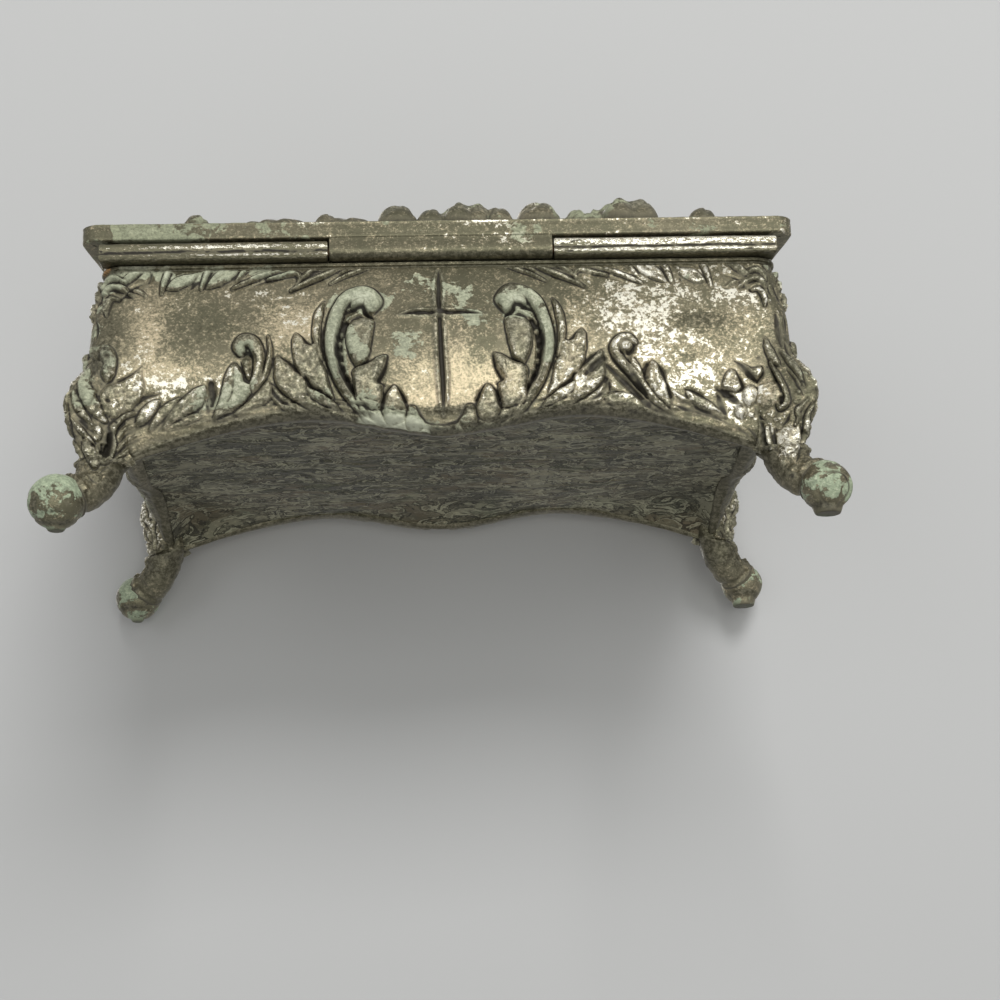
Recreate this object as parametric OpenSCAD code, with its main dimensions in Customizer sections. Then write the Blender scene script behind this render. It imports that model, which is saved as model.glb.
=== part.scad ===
// Footed casket for a rosary: cast walls and cabriole corner legs around a flat
// bottom, a full-length pin hinge along the back, and a cushioned lid.
// Frame: +Z up, +X to the right seen from the front, -Y is the front and
// +Y is the hinge side. The origin is the middle of the footprint, on the floor.

/* [Body] */
// Half length of the casket at the lower edge of the end walls
base_x = 42.7; // [42:0.1:43.4]
// Half depth of the casket at the lower edge of the front and back walls
base_y = 24.6; // [23.8:0.1:25.4]
// How far the swelling of the walls stands out at its widest
swell = 2.15; // [1.8:0.05:2.4]
// Height of the widest line of the swelling
swell_z = 24; // [22:0.5:26]
// Height of the wall tops above the floor
rim_z = 38.3; // [37.8:0.1:38.3]
// Radius of the upright corners, seen from above
corner_r = 3.2; // [2:0.1:4]
// Outward push of the knees, along the diagonal
knee_push = 5.5; // [3:0.1:6]
// Raised oval in the middle of the front and back walls
boss_h = 0.6; // [0:0.1:1]

/* [Bottom] */
// Height of the lower face of the bottom plate
plate_z = 15; // [14.9:0.05:15.1]
// Thickness of the bottom plate
plate_t = 1.8; // [1.2:0.1:2.2]
// Height of the wall's lower edge in the middle of the front and back
drop_z = 12.6; // [12:0.1:13.5]
// Height of the wall's lower edge at the top of its arches
arch_z = 14.9; // [14:0.1:14.9]

// Width of the curve from the bottom plate down to the walls' lower edges
fillet_w = 6.5; // [5:0.1:7]

/* [Legs] */
// Centre of the ball toes, from the middle along X
toe_x = 47.3; // [46.5:0.1:48]
// Centre of the ball toes, from the middle along Y
toe_y = 28.1; // [27.5:0.1:29]
// Radius of the ball toes
toe_r = 3.6; // [3.4:0.1:4]
// Radius of the flat pad under each toe
pad_r = 2.1; // [1.5:0.1:2.6]

/* [Hinge] */
// Radius of the steel hinge pin
pin_r = 0.6; // [0.5:0.05:0.65]
// Running clearance between the pin and the lid's knuckle, on the radius
pin_gap = 0.06; // [0.03:0.01:0.1]
// Half length of the lid's middle knuckle
lug_x = 14.35; // [12:0.05:16]
// Gap between the lid's knuckle and each hinge bar
lug_gap = 0.2; // [0.15:0.05:0.4]
// Outer end of each hinge bar, from the middle
bar_end = 43.5; // [42:0.1:43.5]

/* [Lid] */
// Half length of the lid at its corners
lid_x = 46; // [45:0.1:47]
// Half depth of the lid
lid_y = 27.2; // [27.2:0.1:27.4]
// Thickness of the lid's edge
lid_t = 2.12; // [1.8:0.02:2.4]
// Rise of the lid's top over its edge, without the flowers
dome_h = 2.3; // [1.5:0.1:2.6]

/* [Lining] */
// Thickness of the cloth-covered card around the walls
lining_t = 0.8; // [0.5:0.1:1]
// Thickness of the floor cushion
cushion_t = 2.4; // [1.5:0.1:3]

/* [Hidden] */

$fn = 48;
silver = [0.55, 0.52, 0.45];
tarnish = [0.42, 0.41, 0.35];
bright = [0.78, 0.75, 0.68];
sage = [0.48, 0.53, 0.44];
steel = [0.45, 0.36, 0.28];
velvet = [0.34, 0.05, 0.08];

join_x = 39.6;          // the walls meet the corner legs here
join_y = 21.3;
inner_x = 40.8;         // inner faces of the walls beside the bottom plate
inner_y = 22.7;
shoulder = 35.45;       // ledge that carries the hinge bars
wall_back = 24.7;       // outer face of the back wall above that ledge
axis_y = 26.0;          // hinge axis
axis_z = 36.75;
lug_r = 1.2;
lid_z = 38.38;          // lower face of the lid
eps = 0.01;

function clamp01(t) = max(0, min(1, t));
function smooth(t) = let (s = clamp01(t)) s * s * (3 - 2 * s);
function mix(a, b, t) = a + (b - a) * t;

// Stand-out of the walls at height z: the bombe swelling, then the rim mouldings
function belly(z) = swell - (z < swell_z ? 0.0165 : 0.0115) * pow(z - swell_z, 2);
function moulding(z) =
    z > 35.47 ? 0.1 :
    z > 34.95 ? 0.35 : 0;
function swell_at(z) = z > 34.9 ? belly(34.9) + moulding(z) : belly(z);
// Thinner side of the wall
function hollow(z) = 1.7 * smooth((z - 17.2) / 4) * smooth((34.5 - z) / 5);
// Raised oval in the middle of a long wall
function boss(x, z) = boss_h * exp(-pow(x / 12, 2)) * exp(-pow((z - 24) / 8, 2));

// Lower edge of the long walls and of the end walls: a drop, two arches, two legs
function long_edge(x) = let (a = abs(x))
    a < 17.5 ? mix(drop_z, arch_z, smooth(a / 17.5))
             : arch_z - 5.1 * pow((a - 17.5) / 22.5, 1.6);
function end_edge(y) = let (a = abs(y))
    a < 9 ? mix(drop_z + 0.8, arch_z, smooth(a / 9))
          : arch_z - 5.1 * pow((a - 9) / 13, 1.6);

low_steps = [0, 0.12, 0.3, 0.5, 0.75];
high_levels = [18, 20, 22, 24, 26, 28, 30, 32, 33.6, 34.8, 34.9, 35, 35.45, 35.5, rim_z];
function levels(edge) = concat([for (f = low_steps) mix(edge, 18, f)], high_levels);

// A closed solid from stations of paired outer and inner points
module strip_loft(outer, inner) {
    n = len(outer);
    k = len(outer[0]);
    pts = [for (i = [0:n-1]) each concat(outer[i], inner[i])];
    function o(i, j) = i * 2 * k + j;
    function q(i, j) = i * 2 * k + k + j;
    faces = concat(
        [for (i = [0:n-2], j = [0:k-2]) each
            [[o(i,j), o(i+1,j), o(i+1,j+1)], [o(i,j), o(i+1,j+1), o(i,j+1)],
             [q(i,j), q(i+1,j+1), q(i+1,j)], [q(i,j), q(i,j+1), q(i+1,j+1)]]],
        [for (i = [0:n-2]) each
            [[o(i,0), q(i,0), q(i+1,0)], [o(i,0), q(i+1,0), o(i+1,0)],
             [o(i,k-1), q(i+1,k-1), q(i,k-1)], [o(i,k-1), o(i+1,k-1), q(i+1,k-1)]]],
        [for (j = [0:k-2]) each
            [[o(0,j), o(0,j+1), q(0,j+1)], [o(0,j), q(0,j+1), q(0,j)],
             [o(n-1,j), q(n-1,j+1), o(n-1,j+1)], [o(n-1,j), q(n-1,j), q(n-1,j+1)]]]);
    polyhedron(points = pts, faces = faces, convexity = 6);
}

// Long wall, drawn as the back wall. ledge cuts it back above the shoulder.
module long_wall(ledge) {
    xs = [for (i = [0:28]) mix(join_x, -join_x, i / 28)];
    outer = [for (x = xs) [for (z = levels(long_edge(x)))
        [x, ledge && z > 35.47 ? wall_back : base_y + swell_at(z) + boss(x, z), z]]];
    inner = [for (x = xs) [for (z = levels(long_edge(x)))
        [x, inner_y + hollow(z), z]]];
    strip_loft(outer, inner);
}

// End wall, drawn as the right end
module end_wall() {
    ys = [for (i = [0:16]) mix(-join_y, join_y, i / 16)];
    outer = [for (y = ys) [for (z = levels(end_edge(y)))
        [base_x + swell_at(z), y, z]]];
    inner = [for (y = ys) [for (z = levels(end_edge(y)))
        [inner_x + hollow(z), y, z]]];
    strip_loft(outer, inner);
}

// Corner leg for the quarter +X +Y. Rings go down from the rim through the knee
// and the ankle into the toe. Each ring has eleven outer and eleven inner points.
ring_n = 11;
function push_at(z) = knee_push * smooth((23.8 - z) / 9.3);
function outer_pt(z, k, ledge) = let (
        xo = base_x + swell_at(z), yo = base_y + swell_at(z),
        s = k / (ring_n - 1), a = 90 - 90 * (k - 1) / (ring_n - 3),
        b = k == 0 ? [join_x, yo] : k == ring_n - 1 ? [xo, join_y] :
            [xo - corner_r + corner_r * cos(a), yo - corner_r + corner_r * sin(a)],
        w = push_at(z) * pow(sin(180 * s), 1.5) * 0.7071,
        p = [b[0] + w, b[1] + w])
    [p[0], ledge ? min(p[1], wall_back) : p[1]];
function inner_pt(z, k) = let (
        xi = inner_x + hollow(z), yi = inner_y + hollow(z), r = 1,
        a = 90 - 90 * (k - 1) / (ring_n - 3))
    k == 0 ? [join_x, yi] : k == ring_n - 1 ? [xi, join_y] :
        [xi - r + r * cos(a), yi - r + r * sin(a)];
function solid_pt(z, k) = let (r = 0.8,
        a = 180 + 90 * (k - 1) / (ring_n - 3))
    k == 0 ? [join_x, inner_y] : k == ring_n - 1 ? [inner_x, join_y] :
        [join_x + r + r * cos(a), join_y + r + r * sin(a)];
// Oval ring around c: a across the diagonal, b along it, leaning by t degrees
function oval_pt(c, a, b, t, k) = let (
        u = 8.18 + 16.3636 * k, d = 0.7071)
    [c[0] - a * cos(u) * d + b * sin(u) * cos(t) * d,
     c[1] + a * cos(u) * d + b * sin(u) * cos(t) * d,
     c[2] + b * sin(u) * sin(t)];
function post_ring(z, ledge) = concat(
    [for (k = [0:ring_n-1]) concat(outer_pt(z, k, ledge && z > 35.47), z)],
    [for (k = [ring_n-1:-1:0]) concat(inner_pt(z, k), z)]);
function knee_ring(z) = concat(
    [for (k = [0:ring_n-1]) concat(outer_pt(z, k, false), z)],
    [for (k = [ring_n-1:-1:0]) concat(solid_pt(z, k), z)]);
function leg_ring(c, a, b, t) = [for (k = [0:2*ring_n-1]) oval_pt(c, a, b, t, k)];
function mix_ring(p, q, t) = [for (i = [0:len(p)-1]) mix(p[i], q[i], t)];
post_levels = [rim_z, 35.5, 35.45, 35, 34.9, 34.8, 33.6, 32, 29,
               26, 24, 22, 20.5, 19, 17.5, 16.2, plate_z];
knee_levels = [14.9, 13.8, 12.6, 11.4, 10.4, 9.8];
ankle = [ // centre, half width, half depth, lean
    [[42.95, 24.6, 8.6], 2.8, 3.0, 4], [[43.1, 24.7, 7.6], 2.6, 2.75, 14],
    [[43.6, 25.1, 6.6], 2.5, 2.6, 30], [[44.3, 25.7, 5.7], 2.5, 2.5, 46],
    [[45.1, 26.3, 5.0], 2.6, 2.5, 62], [[46.0, 27.0, 4.4], 2.8, 2.7, 76]];
module leg(ledge) {
    rings = concat(
        [for (z = post_levels) post_ring(z, ledge)],
        [for (z = knee_levels) knee_ring(z)],
        [mix_ring(knee_ring(9.2), leg_ring([43.0, 24.6, 9.2], 3.0, 3.3, 2), 0.6)],
        [for (a = ankle) leg_ring(a[0], a[1], a[2], a[3])]);
    n = len(rings);
    m = 2 * ring_n;
    pts = [for (r = rings) each r];
    faces = concat(
        [for (i = [0:n-2], k = [0:m-1]) each
            [[i*m + k, (i+1)*m + (k+1) % m, i*m + (k+1) % m],
             [i*m + k, (i+1)*m + k, (i+1)*m + (k+1) % m]]],
        [for (k = [0:ring_n-2]) each
            [[k, m-2-k, m-1-k], [k, k+1, m-2-k]]],
        [for (k = [1:m-2]) [(n-1)*m, (n-1)*m + k + 1, (n-1)*m + k]]);
    color(silver) union() {
        polyhedron(points = pts, faces = faces, convexity = 8);
        translate([toe_x, toe_y, toe_r + 0.15]) sphere(r = toe_r);
        translate([toe_x, toe_y, 0]) cylinder(r = pad_r, h = toe_r);
    }
}

module front_panel() color(silver) mirror([0, 1, 0]) long_wall(false);
module back_panel() color(silver) long_wall(true);
module right_end_panel() color(tarnish) end_wall();
module left_end_panel() color(tarnish) mirror([1, 0, 0]) end_wall();
module leg_back_right() leg(true);
module leg_back_left() mirror([1, 0, 0]) leg(true);
module leg_front_right() mirror([0, 1, 0]) leg(false);
module leg_front_left() mirror([1, 0, 0]) mirror([0, 1, 0]) leg(false);

module rounded_plate(x, y, r, h)
    linear_extrude(height = h) union() {
        square([2 * (x - r), 2 * y], center = true);
        square([2 * x, 2 * (y - r)], center = true);
        for (i = [-1, 1], j = [-1, 1]) translate([i * (x - r), j * (y - r)]) circle(r = r);
    }

// Bottom: a plate whose underside curves down to the lower edges of the walls.
// Its four corner cells are left out, because the legs are solid there.
function skirt(x, y) = let (
    a = pow(1 - clamp01((inner_y - abs(y)) / fillet_w), 2),
    b = pow(1 - clamp01((inner_x - abs(x)) / fillet_w), 2))
    plate_z - max(0, (plate_z - long_edge(x) - 0.35) * a, (plate_z - end_edge(y) - 0.35) * b);
half_xs = [4, 8, 12, 16, 20, 24, 28, 32, 34.3, 35.6, 36.9, 38.2, join_x - 0.1, inner_x];
half_ys = [3.5, 7, 10.5, 14, 16.2, 17.5, 18.7, 20, join_y - 0.1, inner_y];
plate_xs = concat([for (i = [len(half_xs)-1:-1:0]) -half_xs[i]], [0], half_xs);
plate_ys = concat([for (i = [len(half_ys)-1:-1:0]) -half_ys[i]], [0], half_ys);
module bottom_plate() {
    n = len(plate_xs);
    m = len(plate_ys);
    function here(i, j) = i >= 0 && j >= 0 && i < n - 1 && j < m - 1 &&
        !((i == 0 || i == n - 2) && (j == 0 || j == m - 2));
    pts = concat([for (x = plate_xs, y = plate_ys) [x, y, skirt(x, y)]],
                 [for (x = plate_xs, y = plate_ys) [x, y, plate_z + plate_t]]);
    function lo(i, j) = i * m + j;
    function hi(i, j) = n * m + i * m + j;
    function side(i, j, k, l) = [[lo(k,l), lo(i,j), hi(i,j)], [lo(k,l), hi(i,j), hi(k,l)]];
    cells = [for (i = [0:n-2], j = [0:m-2]) if (here(i, j)) [i, j]];
    faces = concat(
        [for (c = cells) let (i = c[0], j = c[1]) each
            [[lo(i,j), lo(i+1,j), lo(i+1,j+1)], [lo(i,j), lo(i+1,j+1), lo(i,j+1)],
             [hi(i,j), hi(i,j+1), hi(i+1,j+1)], [hi(i,j), hi(i+1,j+1), hi(i+1,j)]]],
        [for (c = cells) let (i = c[0], j = c[1]) if (!here(i, j-1)) each side(i, j, i+1, j)],
        [for (c = cells) let (i = c[0], j = c[1]) if (!here(i+1, j)) each side(i+1, j, i+1, j+1)],
        [for (c = cells) let (i = c[0], j = c[1]) if (!here(i, j+1)) each side(i+1, j+1, i, j+1)],
        [for (c = cells) let (i = c[0], j = c[1]) if (!here(i-1, j)) each side(i, j+1, i, j)]);
    color(tarnish) polyhedron(points = pts, faces = faces, convexity = 6);
}

// Hinge bar of the body, from the lid's knuckle to the corner
module hinge_bar() {
    x0 = lug_x + lug_gap;
    y0 = wall_back; y1 = lid_y;
    z0 = 35.5; z1 = 37.98; r = 0.45;
    color(bright) difference() {
        translate([x0, 0, 0]) rotate([90, 0, 90]) linear_extrude(height = bar_end - x0)
            union() {
                translate([y0, z0]) square([y1 - y0 - r, z1 - z0]);
                translate([y0, z0 + r]) square([y1 - y0, z1 - z0 - 2 * r]);
                for (z = [z0 + r, z1 - r]) translate([y1 - r, z]) circle(r = r);
            }
        translate([x0 - 1, axis_y, axis_z]) rotate([0, 90, 0])
            cylinder(r = pin_r - 0.005, h = bar_end - x0 + 2);
    }
}
module hinge_bar_right() hinge_bar();
module hinge_bar_left() mirror([1, 0, 0]) hinge_bar();
module hinge_pin() color(steel)
    translate([-bar_end + 0.1, axis_y, axis_z]) rotate([0, 90, 0])
        cylinder(r = pin_r, h = 2 * bar_end - 0.2);

// Outline of the lid: straight at the hinge, waved at the front and the ends
function wave(t) = let (a = abs(t)) a < 0.55 ? smooth(a / 0.55) * 0.75 + 0.25 * smooth(a / 0.3)
                                             : 1 - smooth((a - 0.55) / 0.45);
function lid_outline(inset) = let (x = lid_x - inset, y = lid_y - inset, n = 20) concat(
    [[x, y]], [[-x, y]],
    [for (i = [1:n-1]) let (t = 1 - 2 * i / n) [-x + 1.1 * wave(t), y * t]],
    [[-x, -y]],
    [for (i = [1:n+7]) let (t = -1 + 2 * i / (n + 8)) [x * t, -y + 0.9 * wave(t)]],
    [[x, -y]],
    [for (i = [1:n-1]) let (t = -1 + 2 * i / n) [x - 1.1 * wave(t), y * t]]);

// Raised top of the lid, as rings that close in on a ridge line
dome_rings = [[1.1, 0], [1.5, 0.25], [2.4, 0.42], [3.8, 0.6], [6, 0.74], [9, 0.84],
              [13, 0.92], [18, 0.97], [23, 1]];
module lid_dome() {
    base = 40.1;
    top0 = lid_z + lid_t + 0.25;
    rings = concat([[for (p = lid_outline(1.1)) [p[0], p[1], base]]],
        [for (d = dome_rings) [for (p = lid_outline(d[0]))
            [p[0], p[1], top0 + (dome_h - 0.25) * d[1]]]]);
    n = len(rings);
    m = len(rings[0]);
    pts = concat([for (r = rings) each r], [[0, 0, base], [0, 0, top0 + dome_h - 0.25]]);
    c0 = n * m;
    faces = concat(
        [for (i = [0:n-2], k = [0:m-1]) each
            [[i*m + k, (i+1)*m + (k+1) % m, i*m + (k+1) % m],
             [i*m + k, (i+1)*m + k, (i+1)*m + (k+1) % m]]],
        [for (k = [0:m-1]) [c0, k, (k+1) % m]],
        [for (k = [0:m-1]) [c0 + 1, (n-1)*m + (k+1) % m, (n-1)*m + k]]);
    polyhedron(points = pts, faces = faces, convexity = 4);
}

// A rose: a round heart in a ring of five petals
module rose(r) {
    h = r * 0.55;
    cylinder(r = r * 0.95, h = h * 0.6);
    for (a = [0:72:359]) rotate(a) translate([r * 0.56, 0, h * 0.45]) sphere(r = r * 0.44, $fn = 24);
    translate([0, 0, h * 0.7]) sphere(r = r * 0.42, $fn = 24);
}
// A bud: one ball on a short collar
module bud(r) {
    cylinder(r = r * 0.8, h = r * 0.7);
    translate([0, 0, r * 0.75]) sphere(r = r * 0.85, $fn = 32);
}
// A leaf: the overlap of two arcs, with its tip along +X
module leaf(l, w, h) {
    r = (l * l / 4 + w * w / 4) / w;
    intersection() {
        translate([l / 2, r - w / 2, 0]) cylinder(r = r, h = h, $fn = 96);
        translate([l / 2, w / 2 - r, 0]) cylinder(r = r, h = h, $fn = 96);
    }
}
// Half of the lid's garland; the other half is the same, turned half round
roses = [[-3.2, 21.0, 3.6], [-23.8, 20.6, 3.6], [38.4, 9.5, 3.2]];
buds = [[5.6, 22.3, 2.1], [-13.1, 22.0, 2.7], [-35, 21.4, 1.9], [32, 21.8, 1.6]];
leaves = [[9, 21.5, 5, 8, 3.2], [17.5, 21.8, 0, 9, 3], [-16.5, 22.2, 170, 6, 3],
          [27, 19, 20, 7, 3], [-29.5, 20, 190, 7, 3], [38, 15, 60, 6, 3],
          [-39, 15, 110, 6, 3], [36.5, 3.6, 250, 7, 3]];
module garland_half() {
    for (p = roses) translate([p[0], p[1], 41.6]) rose(p[2]);
    for (p = buds) translate([p[0], p[1], 41.4]) bud(p[2]);
    for (p = leaves) translate([p[0], p[1], 41.2]) rotate(p[2]) leaf(p[3], p[4], 2);
}
module rosette() {
    translate([0, 0, 42]) cylinder(r = 5.4, h = 1.7);
    for (a = [0:45:359]) rotate(a) translate([4.6, 0, 42]) leaf(7, 3.4, 1.9);
    translate([0, 0, 42.7]) sphere(r = 2.4);
}

module lid() color(sage) difference() {
    union() {
        translate([0, 0, lid_z]) linear_extrude(height = lid_t) polygon(lid_outline(0));
        translate([0, 0, lid_z + lid_t - 0.2]) linear_extrude(height = 0.45) polygon(lid_outline(0.8));
        lid_dome();
        garland_half();
        rotate(180) garland_half();
        rosette();
        translate([-lug_x, axis_y, axis_z]) rotate([0, 90, 0]) cylinder(r = lug_r, h = 2 * lug_x);
        translate([-lug_x, axis_y - lug_r, axis_z]) cube([2 * lug_x, 2 * lug_r - 0.2, lid_z - axis_z + 0.5]);
    }
    translate([-lug_x - 1, axis_y, axis_z]) rotate([0, 90, 0])
        cylinder(r = pin_r + pin_gap, h = 2 * lug_x + 2);
    translate([0, 0, lid_z - 1]) rounded_plate(41.2, 22.2, 2, 2.5);
}

// Soft lining: plain outer shapes
module cushion(x, y, r, h, lip) {
    rounded_plate(x, y, r, h - lip);
    translate([0, 0, h - lip - eps]) rounded_plate(x - 1.2, y - 1.2, r, lip + eps);
}
module floor_cushion() color(velvet)
    translate([0, 0, plate_z + plate_t + 0.02]) cushion(inner_x - lining_t - 0.35, inner_y - lining_t - 0.35, 2, cushion_t, 0.8);
module wall_lining() color(velvet) translate([0, 0, plate_z + plate_t + 0.02]) difference() {
    rounded_plate(inner_x - 0.1, inner_y - 0.1, 1.2, 20);
    translate([0, 0, -1]) rounded_plate(inner_x - 0.1 - lining_t, inner_y - 0.1 - lining_t, 1, 22);
}
module lid_cushion() color(velvet)
    translate([0, 0, 39.86]) mirror([0, 0, 1]) cushion(inner_x - 0.5, inner_y - 0.8, 2, 2.1, 0.8);

front_panel();
back_panel();
left_end_panel();
right_end_panel();
bottom_plate();
leg_front_left();
leg_front_right();
leg_back_left();
leg_back_right();
hinge_bar_left();
hinge_bar_right();
hinge_pin();
lid();
floor_cushion();
wall_lining();
lid_cushion();
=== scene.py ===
import bpy
import math
import numpy as np
from mathutils import Matrix, Vector


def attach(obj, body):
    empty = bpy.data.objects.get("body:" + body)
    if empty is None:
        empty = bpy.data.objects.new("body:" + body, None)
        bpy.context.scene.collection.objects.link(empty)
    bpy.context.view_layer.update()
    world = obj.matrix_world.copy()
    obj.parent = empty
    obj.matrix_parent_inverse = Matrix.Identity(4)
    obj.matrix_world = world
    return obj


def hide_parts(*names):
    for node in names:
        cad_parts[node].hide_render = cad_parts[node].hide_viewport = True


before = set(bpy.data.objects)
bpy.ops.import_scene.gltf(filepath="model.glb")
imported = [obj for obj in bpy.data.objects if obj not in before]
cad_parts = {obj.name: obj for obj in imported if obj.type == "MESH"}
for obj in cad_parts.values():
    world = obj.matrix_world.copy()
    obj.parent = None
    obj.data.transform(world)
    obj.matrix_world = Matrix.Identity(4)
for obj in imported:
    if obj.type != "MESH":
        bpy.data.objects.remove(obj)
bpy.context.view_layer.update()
DENS = 1.0
rng = np.random.default_rng(7)
scene = bpy.context.scene
scene.view_settings.view_transform = "Standard"

# ------------------------------------------------------------------ camera
CAM_C = np.array((3.3216, 216.5686, -49.3089))
CAM_R = np.array((-0.99853704, 0.04167716, -0.03444979))
CAM_U = np.array((-0.02209321, 0.26703366, 0.96343392))
CAM_F = np.array((-0.04935244, -0.96278556, 0.26572221))
FOCAL = 1601.14
cam_data = bpy.data.cameras.new("camera")
cam_data.sensor_width = 36.0
cam_data.lens = FOCAL * 36.0 / 1000.0
cam_data.clip_start, cam_data.clip_end = 0.01, 20.0
cam = bpy.data.objects.new("camera", cam_data)
scene.collection.objects.link(cam)
m = np.eye(4)
m[:3, 0], m[:3, 1], m[:3, 2], m[:3, 3] = CAM_R, CAM_U, -CAM_F, CAM_C / 1000
cam.matrix_world = Matrix(m.tolist())
scene.camera = cam

# ------------------------------------------------- the casket's base shape, mm
BX, BY = 42.7, 24.6
SWELL, SWELL_Z = 2.15, 24.0
JX, JY = 39.6, 21.3
IX, IY = 40.8, 22.7
SHOULDER, WALL_BACK, RIM = 35.45, 24.7, 38.3
AX_Y, AX_Z = 26.0, 36.75
PLATE_Z, PLATE_T = 15.0, 1.8
LID_Z, LID_T, LID_X, LID_Y = 38.38, 2.12, 46.0, 27.2
CORNER_R, KNEE = 3.2, 5.5


def clamp01(t):
    return np.clip(t, 0.0, 1.0)


def smooth(t):
    t = clamp01(t)
    return t * t * (3 - 2 * t)


def belly(z):
    return SWELL - np.where(z < SWELL_Z, 0.0165, 0.0115) * (z - SWELL_Z) ** 2


def step(z, at, w=0.07):
    return smooth((z - at + w) / (2 * w))


def moulding(z, neck=0.1):
    h = 0.35 * step(z, 34.95, 0.12)
    return h + (neck - h) * step(z, 35.45)


def swell_at(z):
    return belly(np.minimum(z, 34.9)) + moulding(z)


def boss(x, z):
    return 0.6 * np.exp(-((x / 12) ** 2)) * np.exp(-(((z - 24) / 8) ** 2))


def hollow(z):
    return 1.7 * smooth((z - 17.2) / 4) * smooth((34.5 - z) / 5)


def long_edge(x):
    a = np.abs(x)
    return np.where(a < 17.5, 12.6 + 2.3 * smooth(a / 17.5), 14.9 - 5.1 * (np.maximum(a - 17.5, 0) / 22.5) ** 1.6)


def end_edge(y):
    a = np.abs(y)
    return np.where(a < 9, 13.4 + 1.5 * smooth(a / 9), 14.9 - 5.1 * (np.maximum(a - 9, 0) / 13) ** 1.6)


def pix_to_wall(px, py):
    """Where the line through an image point meets the back wall."""
    d = CAM_F + CAM_R * (px - 500) / FOCAL - CAM_U * (py - 500) / FOCAL
    y = 26.5
    for _ in range(6):
        p = CAM_C + d * (y - CAM_C[1]) / d[1]
        z = float(np.clip(p[2], 9.0, 34.8))
        y = BY + float(swell_at(np.array(z))) + float(boss(p[0], z))
        if abs(p[0]) > 40.5:        # the knees stand out further
            y += 1.6 * float(smooth((23.8 - p[2]) / 9.3)) * min(1.0, (abs(p[0]) - 40.5) / 2.0)
    return p[0], p[2]


def to_pixels(P):
    """Image points of positions P (..., 3)."""
    q = P - CAM_C
    f = q @ CAM_F
    return 500 + FOCAL * (q @ CAM_R) / f, 500 - FOCAL * (q @ CAM_U) / f


def to_drawing(P):
    """Where the lines of sight through positions P meet the drawn back wall."""
    d = P - CAM_C
    y = np.full(P.shape[:-1], 26.5)
    for _ in range(8):
        k = (y - CAM_C[1]) / d[..., 1]
        x, z = CAM_C[0] + d[..., 0] * k, CAM_C[2] + d[..., 2] * k
        zc = np.clip(z, 9.0, 34.8)
        y = BY + swell_at(zc) + boss(x, zc) + 1.6 * smooth((23.8 - z) / 9.3) * clamp01((np.abs(x) - 40.5) / 2.0)
    return x, z


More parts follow.
